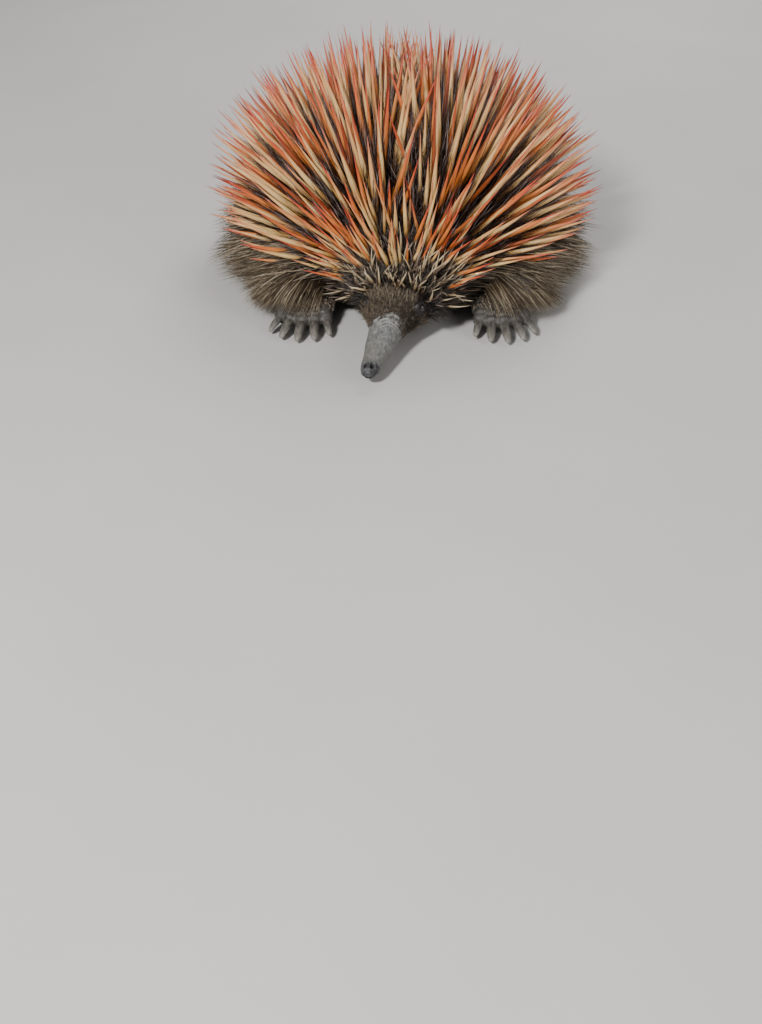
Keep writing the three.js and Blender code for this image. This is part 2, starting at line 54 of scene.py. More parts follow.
# %% [markdown]
# A body like this is easiest to describe by stations: a few sizes at places along its length, with a smooth
# run between them. The same stations drew the solids, so whatever is set on them here sits where the part is.
# Lengths are in millimetres until a mesh is made.

# %% Stations of the body
# y, half width, top, belly
TRUNK = [(-84, 15, 31, 14), (-70, 33, 45, 7), (-49, 53, 62, 5), (-19, 67, 76, 5), (15, 72, 80, 5),
         (50, 71, 76, 5), (83, 60, 62, 6), (107, 41, 44, 8), (120, 17, 28, 14)]
# x, y, z, half width, half height
SKULL = [(1, -46, 31, 25, 20), (0, -66, 25.5, 25.5, 18.5), (-2, -83, 20.5, 22, 14.5),
         (-5, -97, 17, 15.5, 11.5), (-8, -109, 14, 9.8, 8.6), (-11.5, -123, 11.2, 7.4, 6.6),
         (-14.5, -136, 8.8, 5.7, 5), (-17.5, -148, 7.2, 4.7, 4)]
TAIL = [(0, 98, 30, 12, 10.5), (0, 116, 23, 10.5, 9), (0, 130, 17, 7.5, 6.5), (0, 139, 13, 4.5, 4)]
FORELEG = [(34, -38, 27, 15, 15), (45, -48, 22, 13.5, 13.5), (50, -58, 16.5, 11.5, 11.5),
           (52, -66, 12, 10, 10)]
HINDLEG = [(44, 62, 29, 18, 18), (56, 67, 23, 16, 16), (62, 73, 17, 12.5, 12.5), (65, 77, 12, 10, 10)]
WIDEST_LEVEL = 0.36
BELLY_FLATNESS = 0.62
TURN = 2 * math.pi


def along(stations, t):
    """A smooth run (Catmull-Rom) through evenly spaced stations."""
    stations = np.asarray(stations, float)
    last = len(stations) - 1
    place = np.clip(np.atleast_1d(t), 0, 1) * last
    i = np.minimum(place.astype(int), last - 1)
    f = (place - i)[:, None]
    a, b, c, d = (stations[np.clip(i + k, 0, last)] for k in (-1, 0, 1, 2))
    start, end = (c - a) / 2, (d - b) / 2
    return (2 * b - 2 * c + start + end) * f**3 + (3 * c - 3 * b - 2 * start - end) * f**2 + start * f + b


def unit(v):
    return v / np.maximum(np.linalg.norm(v, axis=-1, keepdims=True), 1e-9)


def smoothstep(x, low, high):
    f = np.clip((x - low) / (high - low), 0, 1)
    return f * f * (3 - 2 * f)


def trunk_point(t, angle, radius=1.0):
    """On the trunk: t from neck to rump, angle from the back (0) round the flank (+X) to the belly (pi)."""
    y, half_width, top, belly = along(TRUNK, t).T
    level = belly + (top - belly) * WIDEST_LEVEL
    up, side = np.cos(angle), np.sin(angle)
    lower = up < 0
    out = np.where(lower, np.sign(side) * np.abs(side) ** BELLY_FLATNESS, side)
    rise = np.where(lower, -(level - belly) * np.abs(up) ** BELLY_FLATNESS, (top - level) * up)
    return np.stack([half_width * out * radius, y, level + rise * radius], axis=-1)


def trunk_normal(t, angle, step=0.004):
    down_body = trunk_point(np.minimum(t + step, 1), angle) - trunk_point(np.maximum(t - step, 0), angle)
    round_body = trunk_point(t, angle + step) - trunk_point(t, angle - step)
    return unit(np.cross(round_body, down_body))


def frame_at(stations, t):
    """Centre, way, across and over of a limb at t, with its half width and half height."""
    centre = along(stations, t)[:, :3]
    way = unit(along(stations, np.asarray(t) + 0.01)[:, :3] - along(stations, np.asarray(t) - 0.01)[:, :3])
    across = unit(np.cross([0.0, 0.0, 1.0], way))
    over = unit(np.cross(way, across))
    wide, high = along(stations, t)[:, 3:].T
    return centre, way, across, over, wide[:, None], high[:, None]


def on_limb(stations, t, angle):
    """A place on a limb or the skull, angle from its upper side (0) towards +X, and the way out of it."""
    centre, _, across, over, wide, high = frame_at(stations, t)
    left = across * np.where(across[:, :1] < 0, -1, 1)
    up = over * np.where(over[:, 2:] < 0, -1, 1)
    s, c = np.sin(angle)[:, None], np.cos(angle)[:, None]
    return centre + left * s * wide + up * c * high, unit(left * s / wide + up * c / high)


# Where the eyes and ears lie: the station along the skull, and the angle from its upper side
EYE_STATION, EYE_ANGLE = 0.42, 1.2
EAR_STATION, EAR_ANGLE = 0.235, 1.25
EYE_RADIUS = 3.6


def eye_place(side):
    """The centre of an eye, half sunk into the face, and the way it looks."""
    root, outward = on_limb(SKULL, np.array([EYE_STATION]), np.array([side * EYE_ANGLE]))
    outward = unit(outward + [0.0, -0.35, 0.0])
    return (root - outward * EYE_RADIUS * 0.5)[0], outward[0]


eye_low, eye_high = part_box("eye_left")
SHIFT = np.array((eye_low + eye_high) / 2) / MM - eye_place(1)[0]
print("the part's frame is shifted by", SHIFT.round(2), "mm from the stations")

# %% [markdown]
# Most shapes here start as rings of points, so one helper makes a closed mesh from rings. It lays a quad
# between neighbours and closes each end on one point, which keeps the surface free of holes.

# %% Meshes from rings of points
def new_mesh(name, points, faces):
    mesh = bpy.data.meshes.new(name)
    mesh.from_pydata((np.asarray(points) + SHIFT) * MM, [], faces)
    mesh.shade_smooth()
    return mesh


def new_object(name, mesh):
    made = bpy.data.objects.new(name, mesh)
    bpy.context.scene.collection.objects.link(made)
    return made


def closed(rings, first, last):
    """Points and faces of a closed surface through rings, its ends closed on one point each."""
    rings = np.asarray(rings)
    steps, sides = rings.shape[:2]
    points = np.vstack([rings.reshape(-1, 3), [first, last]])
    faces = []
    for r in range(steps - 1):
        for s in range(sides):
            n = (s + 1) % sides
            faces.append((r * sides + s, r * sides + n, (r + 1) * sides + n, (r + 1) * sides + s))
    end = (steps - 1) * sides
    for s in range(sides):
        n = (s + 1) % sides
        faces.append((n, s, steps * sides))
        faces.append((end + s, end + n, steps * sides + 1))
    return points, faces


def limb(stations, sides=36, steps=40, round_ends=0.12):
    t = np.linspace(0, 1, steps)
    centre, way, across, over, wide, high = frame_at(stations, t)
    from_end = np.minimum(np.minimum(t, 1 - t) / round_ends, 1)
    full = np.sqrt(0.3 + 0.7 * from_end * (2 - from_end))[:, None]
    angle = np.linspace(0, TURN, sides, endpoint=False)
    rings = [centre + across * np.sin(a) * wide * full + over * np.cos(a) * high * full for a in angle]
    return closed(np.stack(rings, axis=1), centre[0] - way[0] * 0.5, centre[-1] + way[-1] * 0.5)


def ellipsoid(centre, radii, turn=0.0, sides=24, steps=14):
    polar = np.linspace(0, math.pi, steps + 2)[1:-1]
    p, r = np.meshgrid(polar, np.linspace(0, TURN, sides, endpoint=False), indexing="ij")
    shape = np.stack([np.sin(p) * np.cos(r), np.sin(p) * np.sin(r), np.cos(p)], axis=-1) * radii
    spin = np.array(Matrix.Rotation(turn, 3, "Z"))
    centre = np.asarray(centre, float)
    tips = np.array([[0, 0, radii[2]], [0, 0, -radii[2]]])
    return closed(shape @ spin.T + centre, tips[0] + centre, tips[1] + centre)


def lid_ring(centre, axis, radius, tube, flat=1.0, heavy=0.0, sides=36, steps=12):
    """A ring round an opening that faces along axis. flat squeezes it, and heavy thickens its upper side."""
    out = np.array(axis) / np.linalg.norm(axis)
    level = unit(np.cross([0.0, 0.0, 1.0], out))
    turn = np.stack([level, np.cross(out, level), out], axis=-1)
    u, v = np.meshgrid(np.arange(sides) / sides * TURN, np.arange(steps) / steps * TURN, indexing="ij")
    thick = tube + heavy * np.maximum(np.sin(u), 0)
    ring = radius + thick * np.cos(v)
    points = np.stack([ring * np.cos(u), ring * np.sin(u) * flat, thick * np.sin(v)], axis=-1).reshape(-1, 3)
    faces = []
    for a in range(sides):
        for b in range(steps):
            c, d = (a + 1) % sides, (b + 1) % steps
            faces.append((a * steps + b, c * steps + b, c * steps + d, a * steps + d))
    return points @ turn.T + centre, faces


# %% [markdown]
# ## The feet
# Each foot is a broad pad with five short digits, made for digging. The digits fan out from the pad, so a
# small table of angles and reaches places them, and the same table places the claws later.

# %% Pads, digits and claws of the feet
# aside, fan angle, reach, claw length
FORE = {"palm": (52, -71, 7.5), "pad": (15, 14, 8.5), "turn": 0.12, "stations": FORELEG,
        "digits": [(-7, -0.38, 13.5, 11), (-3.6, -0.18, 15.5, 14), (0, 0, 16.5, 15), (3.6, 0.18, 15.5, 14),
                   (7, 0.38, 13.5, 11)]}
HIND = {"palm": (68, 80, 7), "pad": (13, 14, 8), "turn": 2.05, "stations": HINDLEG,
        "digits": [(0, -1.02, 13, 8), (0, -0.52, 15.5, 28), (0, -0.04, 16, 18), (0, 0.44, 15.5, 11),
                   (0, 0.92, 13, 8)]}
CLAW_WIDTH = 5.2
SIDES = (("left", 1), ("right", -1))
LIMBS = [(limb_name, side_name, foot, side) for limb_name, foot in (("fore", FORE), ("hind", HIND))
         for side_name, side in SIDES]
CLAW_HEIGHT = 6.4


def mirrored(stations, side):
    return [(s[0] * side, *s[1:]) for s in stations]


def toes(foot, side):
    """For each digit: where it starts, where its claw leaves it, its way, and the claw's length."""
    palm = np.array(foot["palm"]) * [side, 1, 1]
    across = np.array([math.cos(foot["turn"]) * side, math.sin(foot["turn"]), 0])
    found = []
    for aside, fan, reach, claw in foot["digits"]:
        heading = foot["turn"] + fan
        way = np.array([math.sin(heading) * side, -math.cos(heading), 0])
        start = palm + across * aside
        root = start + way * reach
        root[2] = CLAW_HEIGHT
        found.append((start, root, way, claw))
    return found


def foot_shapes(foot, side):
    palm = np.array(foot["palm"]) * [side, 1, 1]
    shapes = [ellipsoid(palm, foot["pad"], foot["turn"] * side)]
    for start, root, way, _ in toes(foot, side):
        knuckle = start + (root - start) * 0.62 + [0, 0, 1.6]
        line = [(*start, 5, 5), (*knuckle, 4.7, 4.6), (*root, 4.1, 4.1)]
        shapes.append(limb(line, 20, 16, 0.25))
        shapes.append(ellipsoid(root - way * 1.2 + [0, 0, 0.4], (4.4, 4.4, 4.3)))
    return shapes


# %% [markdown]
# ## One skin
# Trunk, skull, beak, legs, feet and tail are laid over each other as closed shapes. A voxel remesh then
# wraps them in one surface, so no seam shows where a leg leaves the body. Fine voxels keep the eyelids and
# the beak sharp. The parts that the coat hides are thinned afterwards to save triangles.

# %% Wrap the flesh in one skin
VOXEL = 0.8
round_trunk = np.linspace(0, TURN, 80, endpoint=False)
trunk_rings = [trunk_point(np.full(len(round_trunk), t), round_trunk) for t in np.linspace(0, 1, 100)]
shapes = [closed(trunk_rings, trunk_rings[0].mean(0), trunk_rings[-1].mean(0))]
shapes += [limb(SKULL, 48, 110), limb(TAIL)]
for _, _, foot, side in LIMBS:
    shapes += [limb(mirrored(foot["stations"], side)), *foot_shapes(foot, side)]
for _, side in SIDES:
    centre, outward = eye_place(side)
    lid_centre = centre + outward * EYE_RADIUS * 0.58
    shapes.append(lid_ring(lid_centre, outward, EYE_RADIUS * 0.88, tube=1.15, flat=0.84, heavy=0.55))
    ear, way_out = on_limb(SKULL, np.array([EAR_STATION]), np.array([side * EAR_ANGLE]))
    shapes.append(lid_ring(ear[0] + way_out[0] * 0.6, way_out[0], radius=4.2, tube=1.3))

points, faces = [], []
for shape_points, shape_faces in shapes:
    start = sum(len(p) for p in points)
    points.append(shape_points)
    faces += [tuple(start + i for i in face) for face in shape_faces]
skin = new_object("skin", new_mesh("skin", np.vstack(points), faces))


def baked(obj):
    """Replaces an object's mesh by what its modifiers make of it."""
    found = bpy.data.meshes.new_from_object(obj.evaluated_get(bpy.context.evaluated_depsgraph_get()))
    obj.modifiers.clear()
    obj.data = found
    return found


remesh = skin.modifiers.new("wrap", "REMESH")
remesh.mode = "VOXEL"
remesh.voxel_size = VOXEL * MM
remesh.use_smooth_shade = True
soften = skin.modifiers.new("soften", "SMOOTH")
soften.factor, soften.iterations = 0.5, 3
baked(skin)
print("skin wrapped:", len(skin.data.polygons), "faces")

# %% [markdown]
# One voxel size can't serve both a broad flank and a nostril of a millimetre and a half. The faces at the
# beak's tip, round its wrinkled base and round the eyes are cut smaller, so that these can be shaped.

# %% Cut the faces smaller where small forms come
BEAK_BASE = 0.6
finer = bmesh.new()
finer.from_mesh(skin.data)
# place, reach in mm, cuts of each edge
small_forms = [(along(SKULL, 1)[0, :3], 8, 2), (along(SKULL, BEAK_BASE)[0, :3], 12, 1)]
small_forms += [(eye_place(side)[0], 6.5, 1) for _, side in SIDES]
for spot, reach, cuts in small_forms:
    spot = Vector((spot + SHIFT) * MM)
    near = [f for f in finer.faces if (f.calc_center_median() - spot).length < reach * MM]
    edges = list({e for f in near for e in f.edges})
    bmesh.ops.subdivide_edges(finer, edges=edges, cuts=cuts, use_grid_fill=True)
bmesh.ops.triangulate(finer, faces=[f for f in finer.faces if len(f.verts) > 4])
finer.to_mesh(skin.data)
finer.free()
skin.data.shade_smooth()
print("skin with finer spots:", len(skin.data.polygons), "faces")

# %% [markdown]
# The beak is bare. Its skin gathers into fine rings where it meets the fur, its tip carries two nostrils on
# top, and the mouth is a small slot under the tip. These are pressed into the skin by moving its points,
# because they follow the beak's own line. The same measure, how far down the beak a point lies, is kept on
# the mesh for the skin's colours.

# %% Wrinkles, nostrils, mouth and foot folds
co = np.empty(len(skin.data.vertices) * 3, np.float32)
skin.data.vertices.foreach_get("co", co)
skin_points = co.reshape(-1, 3) / MM - SHIFT
normals = np.empty_like(co)
skin.data.vertices.foreach_get("normal", normals)
normals = normals.reshape(-1, 3)

line_t = np.linspace(0, 1, 400)
line = along(SKULL, line_t)[:, :3]
down_beak = np.interp(-skin_points[:, 1], -line[:, 1], line_t)
on_line = np.stack([np.interp(down_beak, line_t, line[:, axis]) for axis in (0, 1)], 1)
from_line = np.linalg.norm(skin_points[:, :2] - on_line, axis=1)
on_skull = (skin_points[:, 1] < -70) & (np.abs(skin_points[:, 0]) < 30) & (from_line < 27)
patchy, wavy = np.zeros(len(skin_points)), np.zeros(len(skin_points))
for i in np.flatnonzero(on_skull & (down_beak > 0.4)):
    patchy[i] = perlin(Vector(skin_points[i] * [0.16, 0.5, 0.16]))
    wavy[i] = perlin(Vector(skin_points[i] * 0.11 + 7.0))
SKULL_LENGTH = 105
FOLD_STEP = 2.3
fold = np.sin((down_beak - 0.57) * SKULL_LENGTH * TURN / FOLD_STEP + 7.5 * wavy + 1.2 * patchy)
folded = np.exp(-(((down_beak - BEAK_BASE) / 0.06) ** 2)) * on_skull * np.clip(0.55 + 1.3 * patchy, 0, 1.2)
move = -0.26 * folded * (0.5 - 0.5 * fold) ** 1.5 + 0.35 * wavy * smoothstep(down_beak, 0.6, 0.7) * on_skull

tip_centre, tip_way, tip_across = (v[0] for v in frame_at(SKULL, np.array([1.0]))[:3])
nostrils = np.zeros(len(skin_points))
for _, side in SIDES:
    nostril = tip_centre - tip_way * 3.2 + tip_across * side * 1.9 + [0, 0, 3.4]
    apart = skin_points - nostril
    lengthwise = apart @ tip_way
    apart -= np.outer(lengthwise * 0.5, tip_way)
    nostrils += np.exp(-((np.linalg.norm(apart, axis=1) / 0.85) ** 4))
    move += 0.25 * np.exp(-(((np.linalg.norm(apart, axis=1) - 1.5) / 0.5) ** 2))
move -= 1.5 * nostrils
mouth_depth = skin_points - (tip_centre + tip_way * 0.2 + [0, 0, -1.7])
near_mouth = smoothstep(-np.linalg.norm(mouth_depth, axis=1), -7.5, -5.5)
mouth = np.exp(-((mouth_depth[:, 2] / 0.42) ** 2)) * near_mouth
move -= 0.9 * mouth

for _, _, foot, side in LIMBS:
    for start, root, way, _ in toes(foot, side):
        from_root = skin_points - root
        back = -(from_root @ way)
        near = np.linalg.norm(from_root + np.outer(back, way), axis=1)
        on_digit = (near < 5.6) & (back > -1) & (back < 10)
        move -= np.where(on_digit, 0.26 * (0.5 + 0.5 * np.cos(back * TURN / 2.6)) ** 3, 0)

skin_points += normals * move[:, None]
skin_points[:, 2] = np.maximum(skin_points[:, 2], 0.02)
skin.data.vertices.foreach_set("co", ((skin_points + SHIFT) * MM).astype(np.float32).ravel())


def point_values(mesh, name, values, kind="FLOAT"):
    """Keeps a number or a vector for each point of a mesh, for its material or for Geometry Nodes."""
    store = mesh.attributes.get(name) or mesh.attributes.new(name, kind, "POINT")
    store.data.foreach_set("value" if kind == "FLOAT" else "vector", np.asarray(values, np.float32).ravel())


bare = smoothstep(down_beak + 0.03 * patchy + 0.02 * wavy, 0.53, 0.62) * on_skull
face = smoothstep(down_beak, 0.30, 0.44) * on_skull * (1 - bare)
paw = np.zeros(len(skin_points))
for _, _, foot, side in LIMBS:
    palm = np.array(foot["palm"]) * [side, 1, 1]
    near = np.linalg.norm((skin_points - palm) * [1, 1, 0.6], axis=1)
    paw = np.maximum(paw, smoothstep(-near, -29, -22) * smoothstep(-skin_points[:, 2], -18, -11))
eye_gap = np.min([np.linalg.norm(skin_points - eye_place(side)[0], axis=1) for _, side in SIDES], axis=0)
lid = smoothstep(-eye_gap, -8.5, -5.5)
point_values(skin.data, "lid", lid)
point_values(skin.data, "bare", bare)
point_values(skin.data, "face", face)
point_values(skin.data, "paw", paw)
point_values(skin.data, "wrinkle", folded * (0.5 + 0.5 * fold) ** 3 * smoothstep(bare, 0.55, 0.95))
point_values(skin.data, "beak_tip", smoothstep(down_beak + 0.04 * wavy, 0.9, 0.985) * on_skull)
# Painted shade: this marks the nostrils and the mouth slot, which the skin's finish colours near black for
# the shade inside them.
point_values(skin.data, "opening", np.clip(nostrils * 1.2 + mouth, 0, 1))
print("skin pressed in by up to", round(float(-move.min()), 2), "mm")

# %% [markdown]
# Under the coat the skin needs few faces, and a Decimate modifier weighted by a vertex group takes them away
# there, while the beak, the eyelids and the feet keep theirs.

# %% Thin the hidden skin
hidden = skin.vertex_groups.new(name="hidden")
keep_fine = np.maximum(np.maximum(bare, face), paw) > 0.02
hidden.add(np.flatnonzero(~keep_fine).tolist(), 1.0, "REPLACE")
thin = skin.modifiers.new("thin", "DECIMATE")
thin.ratio = 0.42
thin.vertex_group = "hidden"
thin.use_collapse_triangulate = True
baked(skin)
skin.vertex_groups.clear()
tidy = bmesh.new()
tidy.from_mesh(skin.data)
bmesh.ops.recalc_face_normals(tidy, faces=tidy.faces)
tidy.to_mesh(skin.data)
tidy.free()
skin.data.shade_smooth()
print("skin:", len(skin.data.polygons), "triangles")

# %% [markdown]
# ## Materials
# Each finish is a small node tree. A helper adds nodes and joins them, so that each material reads like a
# list. Colours vary by attributes on the mesh and by noise in the object's own space, so they stay put when
# the camera moves.

# %% A helper for materials
def new_finish(name, roughness, specular=0.5, coat=0.0, sheen=0.0):
    finish = bpy.data.materials.new(name)
    finish.use_nodes = True
    tree = finish.node_tree
    shader = tree.nodes["Principled BSDF"]
    shader.inputs["Roughness"].default_value = roughness
    shader.inputs["Specular IOR Level"].default_value = specular
    shader.inputs["Coat Weight"].default_value = coat
    shader.inputs["Sheen Weight"].default_value = sheen
    return finish, tree, shader


def node(tree, kind, inputs=(), **settings):
    made = tree.nodes.new(kind)
    for key, value in settings.items():
        setattr(made, key, value)
    for key, value in dict(inputs).items():
        if hasattr(value, "links"):
            tree.links.new(value, made.inputs[key])
        else:
            made.inputs[key].default_value = value
    return made


def maths(tree, operation, *values):
    return node(tree, "ShaderNodeMath", dict(enumerate(values)), operation=operation).outputs[0]


def attribute(tree, name):
    return node(tree, "ShaderNodeAttribute", attribute_name=name).outputs["Fac"]


def ramp(tree, factor, stops):
    made = node(tree, "ShaderNodeValToRGB", {"Fac": factor})
    band = made.color_ramp
    while len(band.elements) < len(stops):
        band.elements.new(0.5)
    for element, (place, colour) in zip(band.elements, stops):
        element.position = place
        element.color = (*colour, 1)
    return made.outputs["Color"]


def mix(tree, factor, first, second, blend="MIX"):
    made = node(tree, "ShaderNodeMix", data_type="RGBA", blend_type=blend)
    for socket, value in ((made.inputs[0], factor), (made.inputs[6], first), (made.inputs[7], second)):
        if hasattr(value, "links"):
            tree.links.new(value, socket)
        else:
            socket.default_value = value
    return made.outputs[2]


def noise(tree, scale, detail=4.0, stretch=(1, 1, 1), roughness=0.55):
    place = node(tree, "ShaderNodeTexCoord").outputs["Object"]
    laid = node(tree, "ShaderNodeMapping", {"Vector": place, "Scale": stretch}).outputs["Vector"]
    sizes = {"Vector": laid, "Scale": scale, "Detail": detail, "Roughness": roughness}
    return node(tree, "ShaderNodeTexNoise", sizes).outputs["Fac"]


def bump(tree, shader, height, strength, distance):
    made = node(tree, "ShaderNodeBump", {"Height": height, "Strength": strength, "Distance": distance})
    tree.links.new(made.outputs["Normal"], shader.inputs["Normal"])


# %% [markdown]
# The skin is almost black-brown under the spines, grey-brown where short fur covers the face, and bare on
# the beak, a mottled grey, and on the darker paws. The beak's creases catch the light, so their crests are
# paler, and its tip is nearly black. Fine stretched noise stands for the short flat fur.

# %% The skin's finish
skin_finish, tree, shader = new_finish("skin_grey", 0.52, 0.4)
mottled = noise(tree, 90, 5)
fine = noise(tree, 900, 3, (1, 0.35, 1))
under_coat = ramp(tree, mottled, [(0.3, (0.018, 0.013, 0.010)), (0.7, (0.045, 0.033, 0.025))])
face_fur = ramp(tree, fine, [(0.3, (0.07, 0.055, 0.045)), (0.7, (0.21, 0.17, 0.135))])
bare_skin = ramp(tree, noise(tree, 520, 7, (1, 0.5, 1), 0.7),
                 [(0.32, (0.085, 0.087, 0.085)), (0.5, (0.165, 0.168, 0.158)), (0.68, (0.29, 0.29, 0.265))])
worn = noise(tree, 120, 4, (1, 0.5, 1), 0.6)
worn = ramp(tree, worn, [(0.45, (0, 0, 0)), (0.75, (0.4, 0.4, 0.4))])
bare_skin = mix(tree, worn, bare_skin, (0.135, 0.112, 0.085, 1))
paw_skin = ramp(tree, noise(tree, 420, 6), [(0.32, (0.032, 0.028, 0.025)), (0.68, (0.11, 0.100, 0.089))])
colour = mix(tree, attribute(tree, "face"), under_coat, face_fur)
colour = mix(tree, attribute(tree, "paw"), colour, paw_skin)
colour = mix(tree, attribute(tree, "bare"), colour, bare_skin)
colour = mix(tree, attribute(tree, "wrinkle"), colour, (0.46, 0.45, 0.42, 1))
colour = mix(tree, attribute(tree, "lid"), colour, (0.014, 0.011, 0.010, 1))
tip_skin = ramp(tree, noise(tree, 650, 4), [(0.4, (0.018, 0.018, 0.022)), (0.72, (0.10, 0.10, 0.10))])
colour = mix(tree, attribute(tree, "beak_tip"), colour, tip_skin)
# Painted shade: the shallow nostrils and mouth slot are coloured near black, as if they were deep holes in
# shadow.
colour = mix(tree, attribute(tree, "opening"), colour, (0.003, 0.002, 0.002, 1))
tree.links.new(colour, shader.inputs["Base Color"])
in_object = node(tree, "ShaderNodeTexCoord").outputs["Object"]
cells = node(tree, "ShaderNodeTexVoronoi", {"Vector": in_object, "Scale": 700})
pores = maths(tree, "ADD", fine, cells.outputs["Distance"])
bump(tree, shader, pores, 0.6, 0.0005)
skin.data.materials.clear()
skin.data.materials.append(skin_finish)
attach(skin, "root")
leg_nodes = [f"{name}{part}_{side_name}" for name, side_name, _, _ in LIMBS for part in ("leg", "foot")]
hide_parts("torso", "head", "beak", "tail", *leg_nodes)

# %% [markdown]
# ## Eyes
# The eyes are small, dark and wet, low on the sides of the face. Each is a fine ball with a slight bulge
# for the cornea, set in the lids of the skin.

# %% The eyes
eye_finish, tree, shader = new_finish("eye_dark", 0.06, 0.6, coat=0.6)
iris = ramp(tree, noise(tree, 500, 2), [(0.35, (0.004, 0.003, 0.003)), (0.7, (0.018, 0.011, 0.007))])
tree.links.new(iris, shader.inputs["Base Color"])
for name, side in SIDES:
    centre, outward = eye_place(side)
    ball_points, ball_faces = ellipsoid(centre, (EYE_RADIUS - 0.15,) * 3, sides=32, steps=20)
    facing = (unit(ball_points - centre) @ outward)[:, None]
    ball_points = ball_points + outward * 0.45 * smoothstep(facing, 0.75, 1.0)
    eye = new_object(f"eyeball_{name}", new_mesh(f"eyeball_{name}", ball_points, ball_faces))
    eye.data.materials.append(eye_finish)
    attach(eye, "root")
    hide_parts(f"eye_{name}")
print("eyes:", len(SIDES) * len(ball_faces), "faces")

# %% [markdown]
# ## Claws
# A claw is a flattened horn that narrows late and ends blunt from digging. It is drawn as ovals along a
# bent line. Growth lines run along real claws, so the finish stretches its noise that way.

# %% The claws
claw_finish, tree, shader = new_finish("claw_horn", 0.42, 0.5, coat=0.1)
streaks = noise(tree, 900, 5, (1, 0.12, 1), 0.65)
horn = ramp(tree, streaks,
            [(0.3, (0.032, 0.028, 0.025)), (0.5, (0.085, 0.077, 0.068)), (0.7, (0.19, 0.172, 0.15))])
worn_tip = ramp(tree, attribute(tree, "along"), [(0.45, (0, 0, 0)), (1.0, (0.5, 0.5, 0.5))])
horn = mix(tree, worn_tip, horn, (0.34, 0.31, 0.26, 1))
tree.links.new(horn, shader.inputs["Base Color"])
bump(tree, shader, streaks, 0.6, 0.0005)

CLAW_SIDES = 24
LONG_CLAW = 12


def claw_shape(root, way, length, sides=CLAW_SIDES, steps=20):
    """Points and faces of a claw that starts inside its digit, and how far along it each ring lies."""
    width = CLAW_WIDTH * (1 if length > LONG_CLAW else 0.85)
    thickness = CLAW_WIDTH * (0.72 if length > LONG_CLAW else 0.62)
    aim = unit(way + [0, 0, -0.06])
    across = unit(np.cross([0, 0, 1.0], aim))
    over = np.cross(aim, across)
    share = -4 / length + np.linspace(0, 1, steps) * (1 + 4 / length)
    late = np.clip((share - 0.35) / 0.65, 0, 1)
    taper = (1 - late**7) ** 0.5 * (1 - 0.42 * late**1.3)
    centre = root + way + np.outer(share * length, aim) + np.outer(np.maximum(share, 0) ** 2, [0, 0, -3.2])
    rings = []
    a = np.linspace(0, TURN, sides, endpoint=False)
    crest = 1 + 0.1 * np.maximum(np.cos(a), 0) ** 3 - 0.05 * np.cos(6 * a) * np.maximum(np.cos(a), 0)
    for c, f in zip(centre[:-1], taper[:-1]):
        sideways = np.outer(np.sin(a) * width / 2 * f, across)
        rings.append(c + sideways + np.outer(np.cos(a) * crest * thickness / 2 * f, over))
    return closed(rings, centre[0], centre[-1]), np.clip(share[:-1], 0, 1)


OFF_FLOOR = 0.4
claw_count = 0
for limb_name, side_name, foot, side in LIMBS:
    for i, (_, root, way, length) in enumerate(toes(foot, side)):
        (claw_points, claw_faces), share = claw_shape(root, way, length)
        claw_points[:, 2] = np.maximum(claw_points[:, 2], OFF_FLOOR)
        name = f"horn_{limb_name}_{side_name}_{i + 1}"
        claw = new_object(name, new_mesh(name, claw_points, claw_faces))
        point_values(claw.data, "along", [*np.repeat(share, CLAW_SIDES), 0, 1])
        claw.data.materials.append(claw_finish)
        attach(claw, "root")
        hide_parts(f"claw_{limb_name}_{side_name}_{i + 1}")
        claw_count += 1
print("claws:", claw_count)

# %% [markdown]
# ## How the coat is grown
# Spines, bristles and hairs repeat by the thousand. Geometry Nodes set one small mesh on every root point,
# turned, sized and bent by values that the roots carry. One tree does it for all of them: its inputs are the
# hair to repeat, a length, a width, how uneven the sizes are, and a seed. It ends by making the instances
# real and giving them their material.

